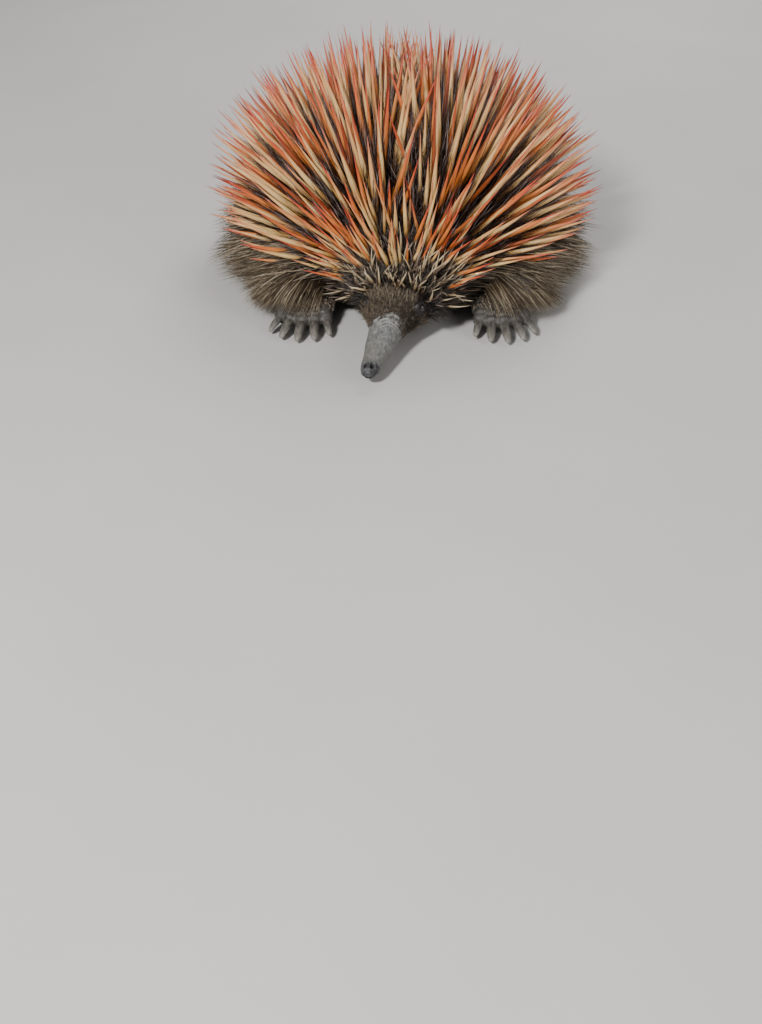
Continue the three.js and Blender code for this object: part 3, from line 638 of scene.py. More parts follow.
# %% The tree that grows the coat
def growing_tree():
    tree = bpy.data.node_groups.new("grow_coat", "GeometryNodeTree")
    for name, kind in (("Roots", "Geometry"), ("Hair", "Object"), ("Length", "Float"), ("Width", "Float"),
                       ("Unevenness", "Float"), ("Seed", "Int"), ("Finish", "Material")):
        tree.interface.new_socket(name=name, in_out="INPUT", socket_type=f"NodeSocket{kind}")
    tree.interface.new_socket(name="Coat", in_out="OUTPUT", socket_type="NodeSocketGeometry")
    given = node(tree, "NodeGroupInput").outputs
    hair = node(tree, "GeometryNodeObjectInfo", {"Object": given["Hair"]}).outputs["Geometry"]

    def kept(name, kind="FLOAT_VECTOR"):
        found = node(tree, "GeometryNodeInputNamedAttribute", {"Name": name}, data_type=kind)
        return found.outputs["Attribute"]

    def scaled(vector, by):
        return node(tree, "ShaderNodeVectorMath", {0: vector, "Scale": by}, operation="SCALE").outputs[0]

    spread = node(tree, "FunctionNodeRandomValue", {"Seed": given["Seed"]}, data_type="FLOAT")
    tree.links.new(maths(tree, "SUBTRACT", 1.0, given["Unevenness"]), spread.inputs[2])
    tree.links.new(maths(tree, "ADD", 1.0, given["Unevenness"]), spread.inputs[3])
    by_axis = {"X": given["Width"], "Y": given["Width"], "Z": given["Length"]}
    sizes = node(tree, "ShaderNodeCombineXYZ", by_axis)
    sized = node(tree, "ShaderNodeVectorMath", {0: kept("size"), 1: sizes.outputs[0]}, operation="MULTIPLY")
    placed = {"Points": given["Roots"], "Instance": hair, "Rotation": kept("facing"),
              "Scale": scaled(sized.outputs[0], spread.outputs[1])}
    set_out = node(tree, "GeometryNodeInstanceOnPoints", placed).outputs[0]
    tints = node(tree, "FunctionNodeRandomValue", data_type="FLOAT")
    tree.links.new(maths(tree, "ADD", given["Seed"], 1.0), tints.inputs["Seed"])
    tinted = node(tree, "GeometryNodeStoreNamedAttribute", {"Geometry": set_out, "Name": "tint"},
                  data_type="FLOAT", domain="INSTANCE")
    tree.links.new(tints.outputs[1], tinted.inputs["Value"])
    real = node(tree, "GeometryNodeRealizeInstances", {"Geometry": tinted.outputs[0]}).outputs[0]
    share = kept("along", "FLOAT")
    bent = scaled(kept("bend"), maths(tree, "MULTIPLY", share, share))
    moved = node(tree, "GeometryNodeSetPosition", {"Geometry": real, "Offset": bent}).outputs[0]
    finished = node(tree, "GeometryNodeSetMaterial", {"Geometry": moved, "Material": given["Finish"]})
    tree.links.new(finished.outputs[0], node(tree, "NodeGroupOutput").inputs["Coat"])
    return tree


GROW = growing_tree()
SOCKETS = {item.name: item.identifier for item in GROW.interface.items_tree if item.in_out == "INPUT"}
print("coat tree inputs:", list(SOCKETS))

# %% [markdown]
# The meshes that are repeated have only a few dozen faces. A spine is one tapered rod. A tuft is a handful
# of thin rods from nearly one root that spread towards their tips. Each point keeps how far along the hair it
# lies, for its colour and its bend, and each face has a place in a unit square, for the coat's map.

# %% The hairs that are repeated
def hair_mesh(name, strands, sides, steps, full, sink=0.08, seed=1, spread=0.0, root_spread=0.0):
    """Rods along +Z, one long and one wide, with strands of them fanned out by spread."""
    rng = np.random.default_rng(seed)
    points, faces, shares, patches, chances, turns = [], [], [], [], [], []
    for k in range(strands):
        lean = (rng.random(2) - 0.5) * 2 * spread
        place = (rng.random(2) - 0.5) * 2 * root_spread
        reach = 1.0 if strands == 1 else 0.72 + 0.28 * rng.random()
        curl = (rng.random(2) - 0.5) * spread * 0.6
        start = len(points)
        chances += [rng.random() if strands > 1 else 0.0] * (sides * steps + 1)
        levels = np.linspace(0, 1, steps + 1)
        for level in levels[:-1]:
            share = -sink + level * (1 + sink)
            late = np.clip((share - full) / (1 - full), 0, 1)
            wide = 0.5 * (1 - late**1.15) * (0.72 + 0.28 * smoothstep(share, -0.02, 0.1))
            middle = place + lean * share + curl * share**2
            for s in range(sides):
                a = TURN * s / sides + k
                points.append((middle[0] + wide * math.cos(a), middle[1] + wide * math.sin(a), share * reach))
                turns.append((math.cos(a), math.sin(a)))
                shares.append(max(share, 0))
        tip = place + lean + curl
        points.append((*tip, reach))
        turns.append((0, 0))
        shares.append(1)
        for r in range(steps):
            v0, v1 = levels[r], levels[r + 1]
            for s in range(sides):
                u0, u1 = (k + s / sides) / strands, (k + (s + 1) / sides) / strands
                a, b = start + r * sides + s, start + r * sides + (s + 1) % sides
                if r < steps - 1:
                    faces.append((a, b, b + sides, a + sides))
                    patches += [(u0, v0), (u1, v0), (u1, v1), (u0, v1)]
                else:
                    faces.append((a, b, start + steps * sides))
                    patches += [(u0, v0), (u1, v0), ((u0 + u1) / 2, v1)]
        if strands == 1:
            faces.append(tuple(start + s for s in reversed(range(sides))))
            patches += [(0, 0)] * sides
    mesh = bpy.data.meshes.new(name)
    mesh.from_pydata(points, [], faces)
    mesh.shade_smooth()
    point_values(mesh, "along", shares)
    if strands > 1:
        point_values(mesh, "chance", chances)
    else:
        point_values(mesh, "round_x", [x for x, _ in turns])
        point_values(mesh, "round_y", [y for _, y in turns])
    mesh.uv_layers.new(name="OFBake").data.foreach_set("uv", np.array(patches, np.float32).ravel())
    return new_object(name, mesh)


SPINE = hair_mesh("one_spine", 1, 7, 8, 0.42, sink=0.09)
BRISTLE = hair_mesh("one_bristle", 4, 3, 3, 0.3, seed=3, spread=7.0, root_spread=3.0)
TUFT = hair_mesh("one_tuft", 6, 3, 3, 0.4, seed=5, spread=5.0, root_spread=3.0)
SHORT_TUFT = hair_mesh("one_short_tuft", 5, 3, 2, 0.2, seed=9, spread=3.0, root_spread=2.2)
MODELS = [SPINE, BRISTLE, TUFT, SHORT_TUFT]
print("faces in each hair:", {m.name: len(m.data.polygons) for m in MODELS})

# %% [markdown]
# Every tuft is painted in a tiny patch of one map. The patch sits where the tuft's root is on the skin when
# the skin is unrolled: the trunk, the skull, each leg and the tail have a rectangle of their own, and the
# four feet share one.

# %% Unrolled places of the roots
SHEETS = {"trunk": (0.02, 0.02, 0.60, 0.96), "skull": (0.64, 0.60, 0.34, 0.38),
          "foreleg_left": (0.64, 0.40, 0.16, 0.18), "foreleg_right": (0.82, 0.40, 0.16, 0.18),
          "hindleg_left": (0.64, 0.20, 0.16, 0.18), "hindleg_right": (0.82, 0.20, 0.16, 0.18),
          "tail": (0.64, 0.02, 0.16, 0.16), "feet": (0.82, 0.02, 0.16, 0.16)}
PATCH = 0.003


def unrolled(sheet, t, angle):
    left, low, wide, high = SHEETS[sheet]
    round_share = ((angle + math.pi) % TURN) / TURN
    return np.stack([left + wide * round_share, low + high * t], axis=-1)


# %% [markdown]
# A hair stands along its way, and its bend is a push that grows towards the tip. The way becomes a rotation
# that the tree can use, so a helper turns three axes into Euler angles. Hair that would dip into the ground
# is laid on it. Then each hair's patch moves to its root's place on the map, and the triangles are counted.

# %% Grow a piece of coat from its roots
def euler_of(way, hint):
    """Angles that turn +Z to way and +X towards hint."""
    across = unit(hint - way * np.sum(hint * way, axis=1, keepdims=True))
    over = np.cross(way, across)
    turned = np.stack([across, over, way], axis=-1)
    about_x = np.arctan2(turned[:, 2, 1], turned[:, 2, 2])
    about_y = -np.arcsin(np.clip(turned[:, 2, 0], -1, 1))
    about_z = np.arctan2(turned[:, 1, 0], turned[:, 0, 0])
    return np.stack([about_x, about_y, about_z], axis=-1)


LOWEST_HAIR = 0.35
coat_total = 0


def grow(name, model, roots, way, wide, share, bend, map_place,
         length, width, unevenness, seed, finish):
    """A plain mesh of hairs. wide and share scale each one's width and length, and bend is in millimetres."""
    global coat_total
    size = np.empty((len(roots), 3))
    size[:, 0] = size[:, 1] = wide
    size[:, 2] = share
    way = unit(way)
    hint = np.where(np.linalg.norm(bend, axis=1, keepdims=True) > 1e-6, bend, [1.0, 0.0, 0.0])
    carrier = bpy.data.meshes.new(name)
    carrier.from_pydata((roots + SHIFT) * MM, [], [])
    point_values(carrier, "facing", euler_of(way, hint), "FLOAT_VECTOR")
    point_values(carrier, "size", size, "FLOAT_VECTOR")
    point_values(carrier, "bend", bend * MM, "FLOAT_VECTOR")
    point_values(carrier, "root_u", map_place[:, 0])
    point_values(carrier, "root_v", map_place[:, 1])
    piece = new_object(name, carrier)
    modifier = piece.modifiers.new("grow", "NODES")
    modifier.node_group = GROW
    for key, value in (("Hair", model), ("Length", length * MM), ("Width", width * MM),
                       ("Unevenness", unevenness), ("Seed", seed), ("Finish", finish)):
        modifier[SOCKETS[key]] = value
    mesh = baked(piece)
    count = len(mesh.vertices)
    place = np.empty(count * 3, np.float32)
    mesh.vertices.foreach_get("co", place)
    place = place.reshape(-1, 3)
    place[:, 2] = np.maximum(place[:, 2], LOWEST_HAIR * MM)
    mesh.vertices.foreach_set("co", place.ravel())
    u, v = np.empty(count, np.float32), np.empty(count, np.float32)
    mesh.attributes["root_u"].data.foreach_get("value", u)
    mesh.attributes["root_v"].data.foreach_get("value", v)
    corner = np.empty(len(mesh.loops), np.int32)
    mesh.loops.foreach_get("vertex_index", corner)
    layer = mesh.uv_layers["OFBake"]
    patch = np.empty(len(corner) * 2, np.float32)
    layer.data.foreach_get("uv", patch)
    spots = np.stack([u[corner], v[corner]], axis=-1) + (patch.reshape(-1, 2) - 0.5) * PATCH
    layer.data.foreach_set("uv", spots.astype(np.float32).ravel())
    for extra in ("root_u", "root_v", "bend", "facing", "size"):
        if extra in mesh.attributes:
            mesh.attributes.remove(mesh.attributes[extra])
    mesh.update()
    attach(piece, "root")
    triangles = sum(len(p.vertices) - 2 for p in mesh.polygons)
    coat_total += triangles
    print(f"{name}: {len(roots)} roots, {triangles} triangles")
    return piece


# %% [markdown]
# Roots are spread evenly: rows from neck to rump, a fixed step apart, and along each row a fixed step round
# the body. A little seeded shaking breaks the grid.

# %% Even places over the trunk
def places_on_trunk(row_step, ring_step, start, highest, lowest, rng, belly=0.7):
    samples = np.linspace(0, 1, 600)
    meridian = trunk_point(samples, np.full(600, 0.8))
    walked = np.concatenate([[0], np.cumsum(np.linalg.norm(np.diff(meridian, axis=0), axis=1))])
    rows = np.interp(np.arange(row_step / 2, walked[-1], row_step), walked, samples)
    angle = np.arange(0.01, math.pi * belly, 0.01)
    t_found, angle_found = [], []
    for number, t in enumerate(rows[rows > start]):
        ring = trunk_point(np.full(len(angle), t), angle)
        length = np.concatenate([[0], np.cumsum(np.linalg.norm(np.diff(ring, axis=0), axis=1))])
        for flank in (-1, 1):
            spots = np.arange(ring_step * (0.5 if number % 2 else 1), length[-1], ring_step)
            found = np.interp(spots, length, angle) + (rng.random(len(spots)) - 0.5) * 0.5 * ring_step / 60
            t_found.append(np.clip(t + (rng.random(len(spots)) - 0.5) * 0.6 * row_step / 210, 0.01, 0.985))
            angle_found.append(flank * found)
    t_found, angle_found = np.concatenate(t_found), np.concatenate(angle_found)
    height = trunk_point(t_found, angle_found)[:, 2]
    chosen = (height >= lowest) & (height < highest)
    return t_found[chosen], angle_found[chosen]


def shaken(rng, count, by):
    return (rng.random((count, 3)) - 0.5) * by


# %% [markdown]
# ## The spines
# Spines are horn: amber at the root, cream along the middle, rusty red towards the fine tip, and a share of
# them red-orange along their length. That red is partly the horn's own tint and partly painted red light,
# the colour of a red lamp laid into the horn. They stand out of the skin and away from the head, so they
# open as two fans, and those next to the middle of the back lean in and cross. They are nearly as thick at
# half their length as at the root, and a little bent.

# %% The finish of the spines
def horn_finish(name, pale, rusty, amount, roughness):
    finish, tree, shader = new_finish(name, roughness, 0.5, coat=0.12)
    share, tint = attribute(tree, "along"), attribute(tree, "tint")
    first, second = ramp(tree, share, pale), ramp(tree, share, rusty)
    which = ramp(tree, tint, amount)
    colour = mix(tree, which, first, second)
    # Round the spine the noise is read finely and along it slowly, so it gives streaks from root to tip.
    own = maths(tree, "MULTIPLY_ADD", tint, 60.0, share)
    round_it = {"X": attribute(tree, "round_x"), "Y": attribute(tree, "round_y"), "Z": own}
    in_spine = node(tree, "ShaderNodeCombineXYZ", round_it).outputs[0]
    sizes = {"Vector": in_spine, "Scale": 3.2, "Detail": 5.0, "Roughness": 0.6}
    streaks = node(tree, "ShaderNodeTexNoise", sizes).outputs["Fac"]
    streaked = ramp(tree, streaks, [(0.32, (0.60, 0.56, 0.52)), (0.5, (0.92, 0.91, 0.9)), (0.62, (1, 1, 1))])
    colour = mix(tree, 0.85, colour, streaked, "MULTIPLY")
    shaded = ramp(tree, tint, [(0.84, (1, 1, 1)), (0.92, (0.42, 0.28, 0.22))])
    colour = mix(tree, 1.0, colour, shaded, "MULTIPLY")
    tree.links.new(colour, shader.inputs["Base Color"])
    bump(tree, shader, streaks, 0.3, 0.0006)
    return finish


# Painted light: the rusty red towards the tips, and the red-orange of a share of the spines, is partly
# painted red lamp light.
spine_finish = horn_finish(
    "spine_horn",
    [(0.0, (0.03, 0.016, 0.008)), (0.08, (0.30, 0.13, 0.03)), (0.25, (0.68, 0.38, 0.10)),
     (0.48, (0.90, 0.64, 0.28)), (0.72, (0.88, 0.50, 0.20)), (0.9, (0.76, 0.22, 0.10)),
     (1.0, (0.62, 0.20, 0.13))],
    [(0.0, (0.025, 0.012, 0.006)), (0.08, (0.22, 0.08, 0.02)), (0.3, (0.58, 0.19, 0.035)),
     (0.55, (0.80, 0.24, 0.055)), (0.8, (0.70, 0.09, 0.035)), (1.0, (0.48, 0.06, 0.04))],
    [(0.38, (0, 0, 0)), (0.62, (1, 1, 1))], 0.34)

# %% Grow the spines
SPINE_LENGTH = 53.0
SPINE_WIDTH = 3.15
PARTING = 4.0
FAN_CENTRE = np.array([0.0, -72.0, 18.0])


def standing(t, angle, rng, wildness=0.2):
    """Length as a share of the longest spine, way and bend of spines at places on the trunk."""
    root, normal = trunk_point(t, angle), trunk_normal(t, angle)
    away = unit(root - FAN_CENTRE)
    grown, rear = smoothstep(root[:, 1], -92, -42), smoothstep(root[:, 1], 20, 110)
    low = smoothstep(-root[:, 2], -50, -22)
    share = (0.4 + 0.6 * grown) * (1 - 0.2 * rear) * (1 - 0.2 * low) * (0.84 + 0.17 * rng.random(len(t)))
    way = normal * 0.75 + away * 0.62
    aside = root[:, 0] - PARTING
    way[:, 0] -= np.sign(aside) * 0.7 * np.exp(-((aside / 17) ** 2)) * (0.3 + 0.7 * rng.random(len(t)))
    way[:, 2] += 0.04 * low
    way = unit(way + shaken(rng, len(t), wildness))
    bend = np.outer(share * SPINE_LENGTH, [0, 0.018, 0.07]) + shaken(rng, len(t), 4) * share[:, None]
    return root, way, share, bend


rng = np.random.default_rng(11)
t, angle = places_on_trunk(6.2, 6.5, 0.07, 1000, 25, rng)
places = trunk_point(t, angle)
kept = (places[:, 1] > 10) | (np.abs(places[:, 0] - PARTING) > 3)
t, angle = t[kept], angle[kept]
root, way, share, bend = standing(t, angle, rng)
thick = (0.42 + 0.58 * smoothstep(share, 0.3, 0.85)) * (0.58 + 0.52 * rng.random(len(t)) ** 0.7)
grow("spines", SPINE, root, way, thick, share, bend, unrolled("trunk", t, angle),
     length=SPINE_LENGTH, width=SPINE_WIDTH, unevenness=0.05, seed=1, finish=spine_finish)

# %% [markdown]
# ## Bristles among the spines
# Dark stiff hair grows between the spines, from half to nearly all of their length. It fills the gaps and
# makes the spines stand out. A few strands catch the light, so a share of them is grey.

# %% The finish of dark bristles, and the bristles of the back
def hair_finish(name, root_to_tip, paler, amount, roughness=0.45, sheen=0.0):
    finish, tree, shader = new_finish(name, roughness, 0.45, sheen=sheen)
    share = attribute(tree, "along")
    strand = maths(tree, "FRACT", maths(tree, "ADD", attribute(tree, "tint"), attribute(tree, "chance")))
    colour = mix(tree, ramp(tree, strand, amount), ramp(tree, share, root_to_tip), ramp(tree, share, paler))
    clumps = ramp(tree, noise(tree, 70, 3), [(0.3, (0.65, 0.63, 0.6)), (0.7, (1, 1, 1))])
    tree.links.new(mix(tree, 0.85, colour, clumps, "MULTIPLY"), shader.inputs["Base Color"])
    return finish


bristle_finish = hair_finish(
    "bristle_dark",
    [(0.0, (0.008, 0.005, 0.004)), (0.6, (0.028, 0.014, 0.010)), (1.0, (0.10, 0.040, 0.025))],
    [(0.0, (0.015, 0.012, 0.010)), (0.5, (0.20, 0.17, 0.16)), (1.0, (0.55, 0.43, 0.38))],
    [(0.6, (0, 0, 0)), (0.92, (1, 1, 1))], 0.36)

for name, flank in SIDES:
    rng = np.random.default_rng(21 + flank)
    t, angle = places_on_trunk(3.6, 3.7, 0.03, 1000, 24, rng)
    mine = angle * flank > 0
    t, angle = t[mine], angle[mine]
    root, way, share, bend = standing(t, angle, rng, 0.5)
    share = share * (0.55 + 0.4 * rng.random(len(t)))
    grow(f"bristles_{name}", BRISTLE, root, way, 1, share, bend, unrolled("trunk", t, angle),
         length=SPINE_LENGTH, width=0.62, unevenness=0.12, seed=31 + flank, finish=bristle_finish)

# %% [markdown]
# ## The skirt
# Below the spines hangs long coarse hair, brown at the root and sandy at the tips. It sweeps outwards and
# back and droops over the legs, and its ends lie on the ground.

# %% Hair of the skirt
skirt_finish = hair_finish(
    "skirt_hair",
    [(0.0, (0.016, 0.011, 0.007)), (0.4, (0.045, 0.031, 0.018)),
     (0.8, (0.115, 0.080, 0.045)), (1.0, (0.23, 0.17, 0.11))],
    [(0.0, (0.04, 0.03, 0.02)), (0.4, (0.25, 0.19, 0.12)),
     (0.8, (0.58, 0.48, 0.33)), (1.0, (0.82, 0.75, 0.60))],
    [(0.5, (0, 0, 0)), (0.88, (1, 1, 1))], 0.4)


def drooping(root, way, length, rng, low=0.45, high=1.0):
    """Way and bend of hair that starts outwards and sinks, by a share from low to high, to the ground."""
    drop = (root[:, 2] - 4) * (low + (high - low) * rng.random(len(root)))
    lie = way.copy()
    lie[:, 2] = 0
    lie = unit(lie)
    lie[:, 2] = -0.3 * drop / length
    bend = np.stack([np.zeros(len(root)), np.zeros(len(root)), -0.7 * drop], 1)
    return unit(lie), bend


LOCK_LENGTH = 49.0
for name, flank in SIDES:
    rng = np.random.default_rng(41 + flank)
    t, angle = places_on_trunk(2.9, 2.6, 0.12, 31, 9, rng, 0.75)
    mine = angle * flank > 0
    t, angle = t[mine], angle[mine]
    root, way = trunk_point(t, angle), trunk_normal(t, angle)
    front = smoothstep(-root[:, 1], 10, 60)
    way = way * (1 - 0.6 * front)[:, None] + np.outer(front, [flank * 0.9, 0.35, 0])
    way[:, 1] += 0.3 * smoothstep(root[:, 1], -60, 20)
    way = way + shaken(rng, len(t), 0.32) * [1, 1, 0]
    share = 0.62 + 0.38 * rng.random(len(t))
    way, bend = drooping(root, way, share * LOCK_LENGTH, rng, 0.1, 1 - 0.4 * front)
    grow(f"skirt_{name}", TUFT, root, way, 1, share, bend, unrolled("trunk", t, angle),
         length=LOCK_LENGTH, width=0.85, unevenness=0.1, seed=51 + flank, finish=skirt_finish)

# %% [markdown]
# ## Hair of the legs
# The upper legs carry the same coarse hair, shorter towards the foot, and it fringes the paws.

# %% Hair of the legs
for number, (limb_name, side_name, foot, side) in enumerate(LIMBS):
    rng = np.random.default_rng(61 + number)
    stations = mirrored(foot["stations"], side)
    count = 620 if limb_name == "fore" else 420
    t = 0.12 + (0.7 if limb_name == "fore" else 0.86) * rng.random(count)
    angle = side * (rng.random(count) * 3.2 - (1.1 if limb_name == "fore" else 0.2))
    root, outward = on_limb(stations, t, angle)
    combed = [side * 1.8, 0.2, 0] if limb_name == "fore" else [side * 0.8, 0.35, 0]
    kept = [0.5, 0.22, 0.5] if limb_name == "fore" else [1, 1, 1]
    way = outward * kept + combed + shaken(rng, count, 0.5) * [1, 1, 0]
    if limb_name == "fore":
        way += np.outer(smoothstep(t, 0.45, 0.75), [-side * 0.9, -1.1, 0])
    long = 39.0 if limb_name == "fore" else 29.0
    share = (1.1 - 0.45 * t) * (0.75 + 0.25 * rng.random(count))
    sink = (0.05 + 0.5 * smoothstep(t, 0.45, 0.75), 0.95) if limb_name == "fore" else (0.5, 1.0)
    way, bend = drooping(root, way, share * long, rng, *sink)
    grow(f"hair_{limb_name}leg_{side_name}", TUFT, root, way, 1, share, bend,
         unrolled(f"{limb_name}leg_{side_name}", t, angle),
         length=long, width=0.7, unevenness=0.1, seed=71 + number, finish=skirt_finish)

# %% [markdown]
# ## The head
# Short fur covers the face and lies back from the beak. At the brow small spines, some pale and some dark,
# stand in all directions on nearly black fur, and they grow longer towards the neck.

# %% Fur of the face
face_finish = hair_finish(
    "face_fur",
    [(0.0, (0.030, 0.023, 0.018)), (0.5, (0.115, 0.085, 0.060)), (1.0, (0.29, 0.225, 0.155))],
    [(0.0, (0.07, 0.055, 0.042)), (0.5, (0.36, 0.29, 0.20)), (1.0, (0.80, 0.70, 0.53))],
    [(0.35, (0, 0, 0)), (0.75, (1, 1, 1))], 0.5)
rng = np.random.default_rng(81)
count = 3300
t = 0.30 + 0.36 * rng.random(count) ** 0.8
angle = (rng.random(count) - 0.5) * 2 * 2.5
root, outward = on_limb(SKULL, t, angle)
eye_gap = np.min([np.linalg.norm(root - eye_place(s)[0], axis=1) for s in (1, -1)], axis=0)
edge = 0.02 * np.sin(angle * 3.1 + 0.8) + 0.012 * np.sin(angle * 7.3)
clear = (eye_gap > EYE_RADIUS + 0.6) & (rng.random(count) > smoothstep(t + edge, 0.545, 0.63))
root, outward, t, angle = root[clear], outward[clear], t[clear], angle[clear]
near_beak = smoothstep(t, 0.38, 0.60)
way = unit(outward * (0.45 - 0.3 * near_beak)[:, None] + [0.0, 1.0, 0.12] + shaken(rng, len(t), 0.5))
share = (1.2 - 0.98 * near_beak) * (0.7 + 0.6 * rng.random(len(t)))
bend = (outward * 0.4 + [0.0, 0.0, -0.3] + shaken(rng, len(t), 1.2)) * share[:, None]
wide = 1 - 0.45 * near_beak
grow("fur_face", SHORT_TUFT, root, way, wide, share, bend, unrolled("skull", t, angle),
     length=8.5, width=0.42, unevenness=0.2, seed=82, finish=face_finish)

# %% Dark fur of the brow and nape
brow_fur_finish = hair_finish(
    "brow_fur",
    [(0.0, (0.008, 0.006, 0.005)), (0.6, (0.020, 0.015, 0.012)), (1.0, (0.06, 0.045, 0.035))],
    [(0.0, (0.02, 0.016, 0.013)), (0.6, (0.08, 0.065, 0.052)), (1.0, (0.26, 0.21, 0.17))],
    [(0.5, (0, 0, 0)), (0.95, (1, 1, 1))], 0.42)
rng = np.random.default_rng(83)
count = 1300
t = 0.12 + 0.26 * rng.random(count)
angle = (rng.random(count) - 0.5) * 2 * 1.9
root, outward = on_limb(SKULL, t, angle)
away = unit(root - FAN_CENTRE)
way = unit(outward * 0.6 + away * 0.4 + [0.0, 0.45, 0.1] + shaken(rng, count, 0.8))
share = 1.3 - 0.8 * (t - 0.12) / 0.26
bend = shaken(rng, count, 5)
grow("fur_brow", TUFT, root, way, 1, share, bend, unrolled("skull", t, angle),
     length=15, width=0.5, unevenness=0.2, seed=84, finish=brow_fur_finish)

# %% Small spines of the brow
brow_spine_finish = horn_finish(
    "brow_horn",
    [(0.0, (0.03, 0.02, 0.012)), (0.25, (0.16, 0.10, 0.05)),
     (0.6, (0.60, 0.46, 0.26)), (1.0, (0.80, 0.70, 0.50))],
    [(0.0, (0.012, 0.008, 0.006)), (0.35, (0.05, 0.03, 0.02)),
     (0.7, (0.16, 0.11, 0.08)), (1.0, (0.48, 0.40, 0.31))],
    [(0.3, (0, 0, 0)), (0.7, (1, 1, 1))], 0.38)
rng = np.random.default_rng(85)
count = 230
t = 0.24 + 0.15 * rng.random(count)
angle = (rng.random(count) - 0.5) * 2 * (1.7 - 0.5 * smoothstep(t, 0.3, 0.39))
root, outward = on_limb(SKULL, t, angle)
away = unit(root - FAN_CENTRE)
way = unit(outward * 0.75 + away * 0.3 + [0.0, 0.2, 0.0] + shaken(rng, count, 1.1))
share = (1 - 0.55 * smoothstep(t, 0.24, 0.39)) * (0.7 + 0.5 * rng.random(count))
bend = (np.cross(way, unit(shaken(rng, count, 1))) * 6 + [0, 1, 1.5]) * share[:, None]
thick = 0.7 + 0.4 * rng.random(count)
grow("spines_brow", SPINE, root, way, thick, share, bend, unrolled("skull", t, angle),
     length=21, width=1.35, unevenness=0.15, seed=86, finish=brow_spine_finish)

# %% Full spines behind the brow
rng = np.random.default_rng(87)
count = 90
t = 0.13 + 0.15 * (np.arange(count) + rng.random(count)) / count
angle = (rng.random(count) - 0.5) * 2 * 1.45
root, outward = on_limb(SKULL, t, angle)
away = unit(root - FAN_CENTRE)
way = unit(outward * 0.75 + away * 0.45 + shaken(rng, count, 0.45))
share = (1 - 0.42 * smoothstep(t, 0.13, 0.28)) * (0.8 + 0.35 * rng.random(count))
bend = (np.cross(way, unit(shaken(rng, count, 1))) * 4 + [0, 1, 3]) * share[:, None]
thick = (0.5 + 0.3 * rng.random(count)) * (0.75 + 0.25 * share)
grow("spines_nape", SPINE, root, way, thick, share, bend, unrolled("skull", t, angle),
     length=40, width=SPINE_WIDTH, unevenness=0.08, seed=88, finish=spine_finish)

# %% [markdown]
# ## The tail, the belly and the feet
# The short tail ends the fan with small spines of its own. The belly has sparse soft hair, and the tops of
# the feet have very short tufts that lie towards the claws.

# %% Spines and hair of the tail
rng = np.random.default_rng(91)
count = 80
t = 0.42 + 0.56 * rng.random(count)
angle = (rng.random(count) - 0.5) * 2 * 1.9
root, outward = on_limb(TAIL, t, angle)
way = unit(outward * 0.8 + [0.0, 1.1, 0.1] + shaken(rng, count, 0.3))
share = 0.8 + 0.3 * rng.random(count)
bend = np.tile([0, 0, 2.0], (count, 1))
grow("spines_tail", SPINE, root, way, 0.78, share, bend, unrolled("tail", t, angle),
     length=25, width=SPINE_WIDTH, unevenness=0.1, seed=92, finish=spine_finish)
count = 420
t = 0.3 + 0.7 * rng.random(count)
angle = (rng.random(count) - 0.5) * 2 * 3.0
root, outward = on_limb(TAIL, t, angle)
way = unit(outward * 0.6 + [0.0, 1.0, 0.0] + shaken(rng, count, 0.4))
bend = np.tile([0, 0, -3.0], (count, 1))
grow("hair_tail", TUFT, root, way, 1, 1, bend, unrolled("tail", t, angle),
     length=17, width=0.5, unevenness=0.2, seed=94, finish=bristle_finish)

# %% Hair of the belly
rng = np.random.default_rng(95)
count = 900
t = 0.1 + 0.86 * rng.random(count)
angle = rng.choice([-1, 1], count) * (2.0 + 1.1 * rng.random(count))
root, normal = trunk_point(t, angle), trunk_normal(t, angle)
way = unit(normal * 0.25 + [0.0, 1.0, 0.0] + shaken(rng, count, 0.5))
grow("hair_belly", SHORT_TUFT, root, way, 1, 1, np.zeros((count, 3)), unrolled("trunk", t, angle),
     length=12, width=0.5, unevenness=0.2, seed=96, finish=skirt_finish)

# %% Short hair on the feet
for number, (limb_name, side_name, foot, side) in enumerate(LIMBS):
    rng = np.random.default_rng(101 + number)
    palm = np.array(foot["palm"]) * [side, 1, 1]
    count = 260
    polar, turn = 0.25 + 1.0 * rng.random(count), rng.random(count) * TURN
    spin = np.array(Matrix.Rotation(foot["turn"] * side, 3, "Z"))
    shell = np.stack([np.sin(polar) * np.cos(turn), np.sin(polar) * np.sin(turn), np.cos(polar)], 1)
    root = (shell * foot["pad"]) @ spin.T + palm
    outward = unit((shell / foot["pad"]) @ spin.T)
    heading = np.array([math.sin(foot["turn"]) * side, -math.cos(foot["turn"]), 0])
    way = unit(outward * 0.3 + heading + shaken(rng, count, 0.5))
    left, low, wide, high = SHEETS["feet"]
    quarter_u = 0.5 * (number % 2) + 0.5 * polar / 1.3
    quarter_v = 0.5 * (number // 2) + 0.5 * turn / TURN
    spots = np.stack([left + wide * quarter_u, low + high * quarter_v], 1)
    bend = np.tile([0, 0, -0.8], (count, 1))
    grow(f"hair_{limb_name}foot_{side_name}", SHORT_TUFT, root, way, 1, 1, bend, spots,
         length=5.5, width=0.4, unevenness=0.2, seed=111 + number, finish=face_finish)

for model in MODELS:
    bpy.data.objects.remove(model)
print("coat:", coat_total, "triangles in all")

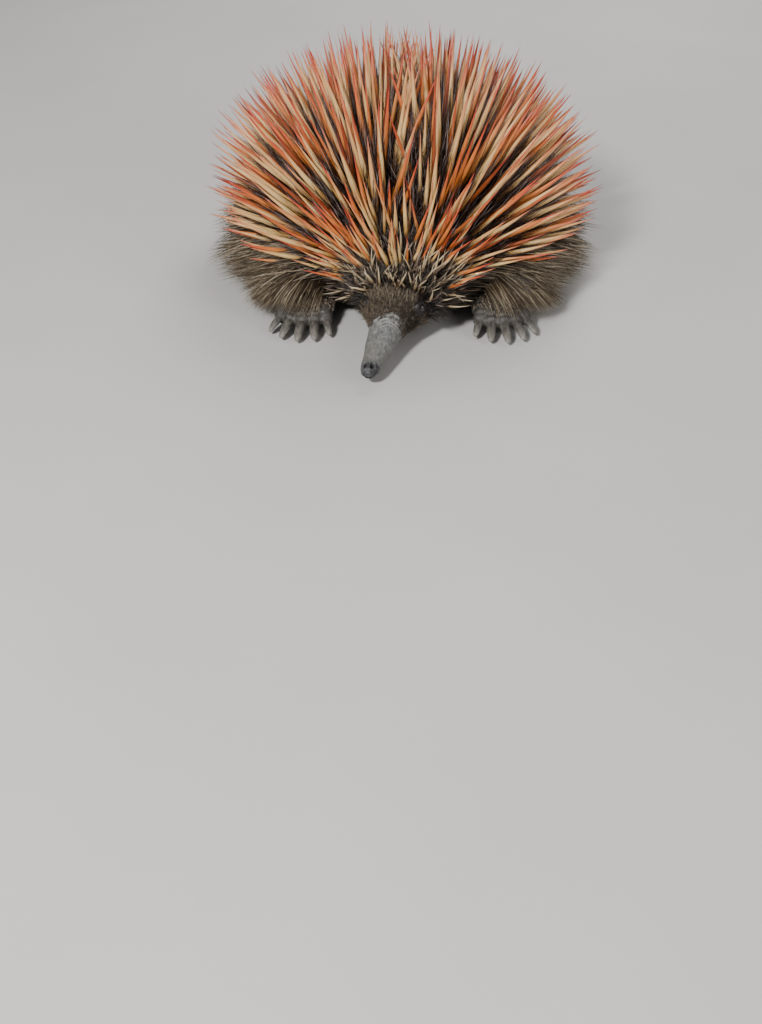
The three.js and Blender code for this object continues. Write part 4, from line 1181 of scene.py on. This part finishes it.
# %% [markdown]
# ## Floor, light and camera
# A plain pale floor and soft lamps show the animal without stealing the scene. The key lamp stands in front
# to the left and high, as in the photograph. The camera looks down at about 35 degrees, from where the size
# of the fans and of the beak match the picture.

# %% Floor
floor_mesh = bpy.data.meshes.new("floor")
floor_mesh.from_pydata([(-6, -6, 0), (6, -6, 0), (6, 6, 0), (-6, 6, 0)], [], [(0, 1, 2, 3)])
floor = new_object("floor", floor_mesh)
floor_finish, tree, shader = new_finish("floor_pale", 0.85, 0.2)
grain = ramp(tree, noise(tree, 6, 3), [(0.3, (0.60, 0.58, 0.55)), (0.7, (0.64, 0.62, 0.59))])
tree.links.new(grain, shader.inputs["Base Color"])
floor_mesh.materials.append(floor_finish)

# %% Lamps
CENTRE = (np.array([0, -10, 40]) + SHIFT) * MM


def lamp(name, place, size, power, colour=(1, 1, 1)):
    data = bpy.data.lights.new(name, "AREA")
    data.shape, data.size, data.energy, data.color = "DISK", size, power, colour
    made = bpy.data.objects.new(name, data)
    made.location = place
    made.rotation_euler = (Vector(CENTRE) - Vector(place)).to_track_quat("-Z", "Y").to_euler()
    bpy.context.scene.collection.objects.link(made)
    return made


lamp("key", (-0.5, -1.0, 0.85), 0.2, 19)
lamp("fill", (0.95, -0.7, 0.6), 0.8, 4.5)
lamp("back", (0.25, 0.9, 0.9), 0.6, 9)
world = bpy.data.worlds.new("studio")
world.use_nodes = True
world.node_tree.nodes["Background"].inputs["Color"].default_value = (0.9, 0.93, 1, 1)
world.node_tree.nodes["Background"].inputs["Strength"].default_value = 0.2
bpy.context.scene.world = world

# %% Camera
camera_data = bpy.data.cameras.new("camera")
camera_data.lens = 45
camera_data.sensor_width = 36
camera = bpy.data.objects.new("camera", camera_data)
bpy.context.scene.collection.objects.link(camera)
pitch, yaw = math.radians(34.8), math.radians(-1.07)
camera.location = (np.array([0, -708, 314]) + SHIFT) * MM
forward = Vector((math.sin(yaw) * math.cos(pitch), math.cos(yaw) * math.cos(pitch), -math.sin(pitch)))
camera.rotation_euler = forward.to_track_quat("-Z", "Y").to_euler()
bpy.context.scene.camera = camera
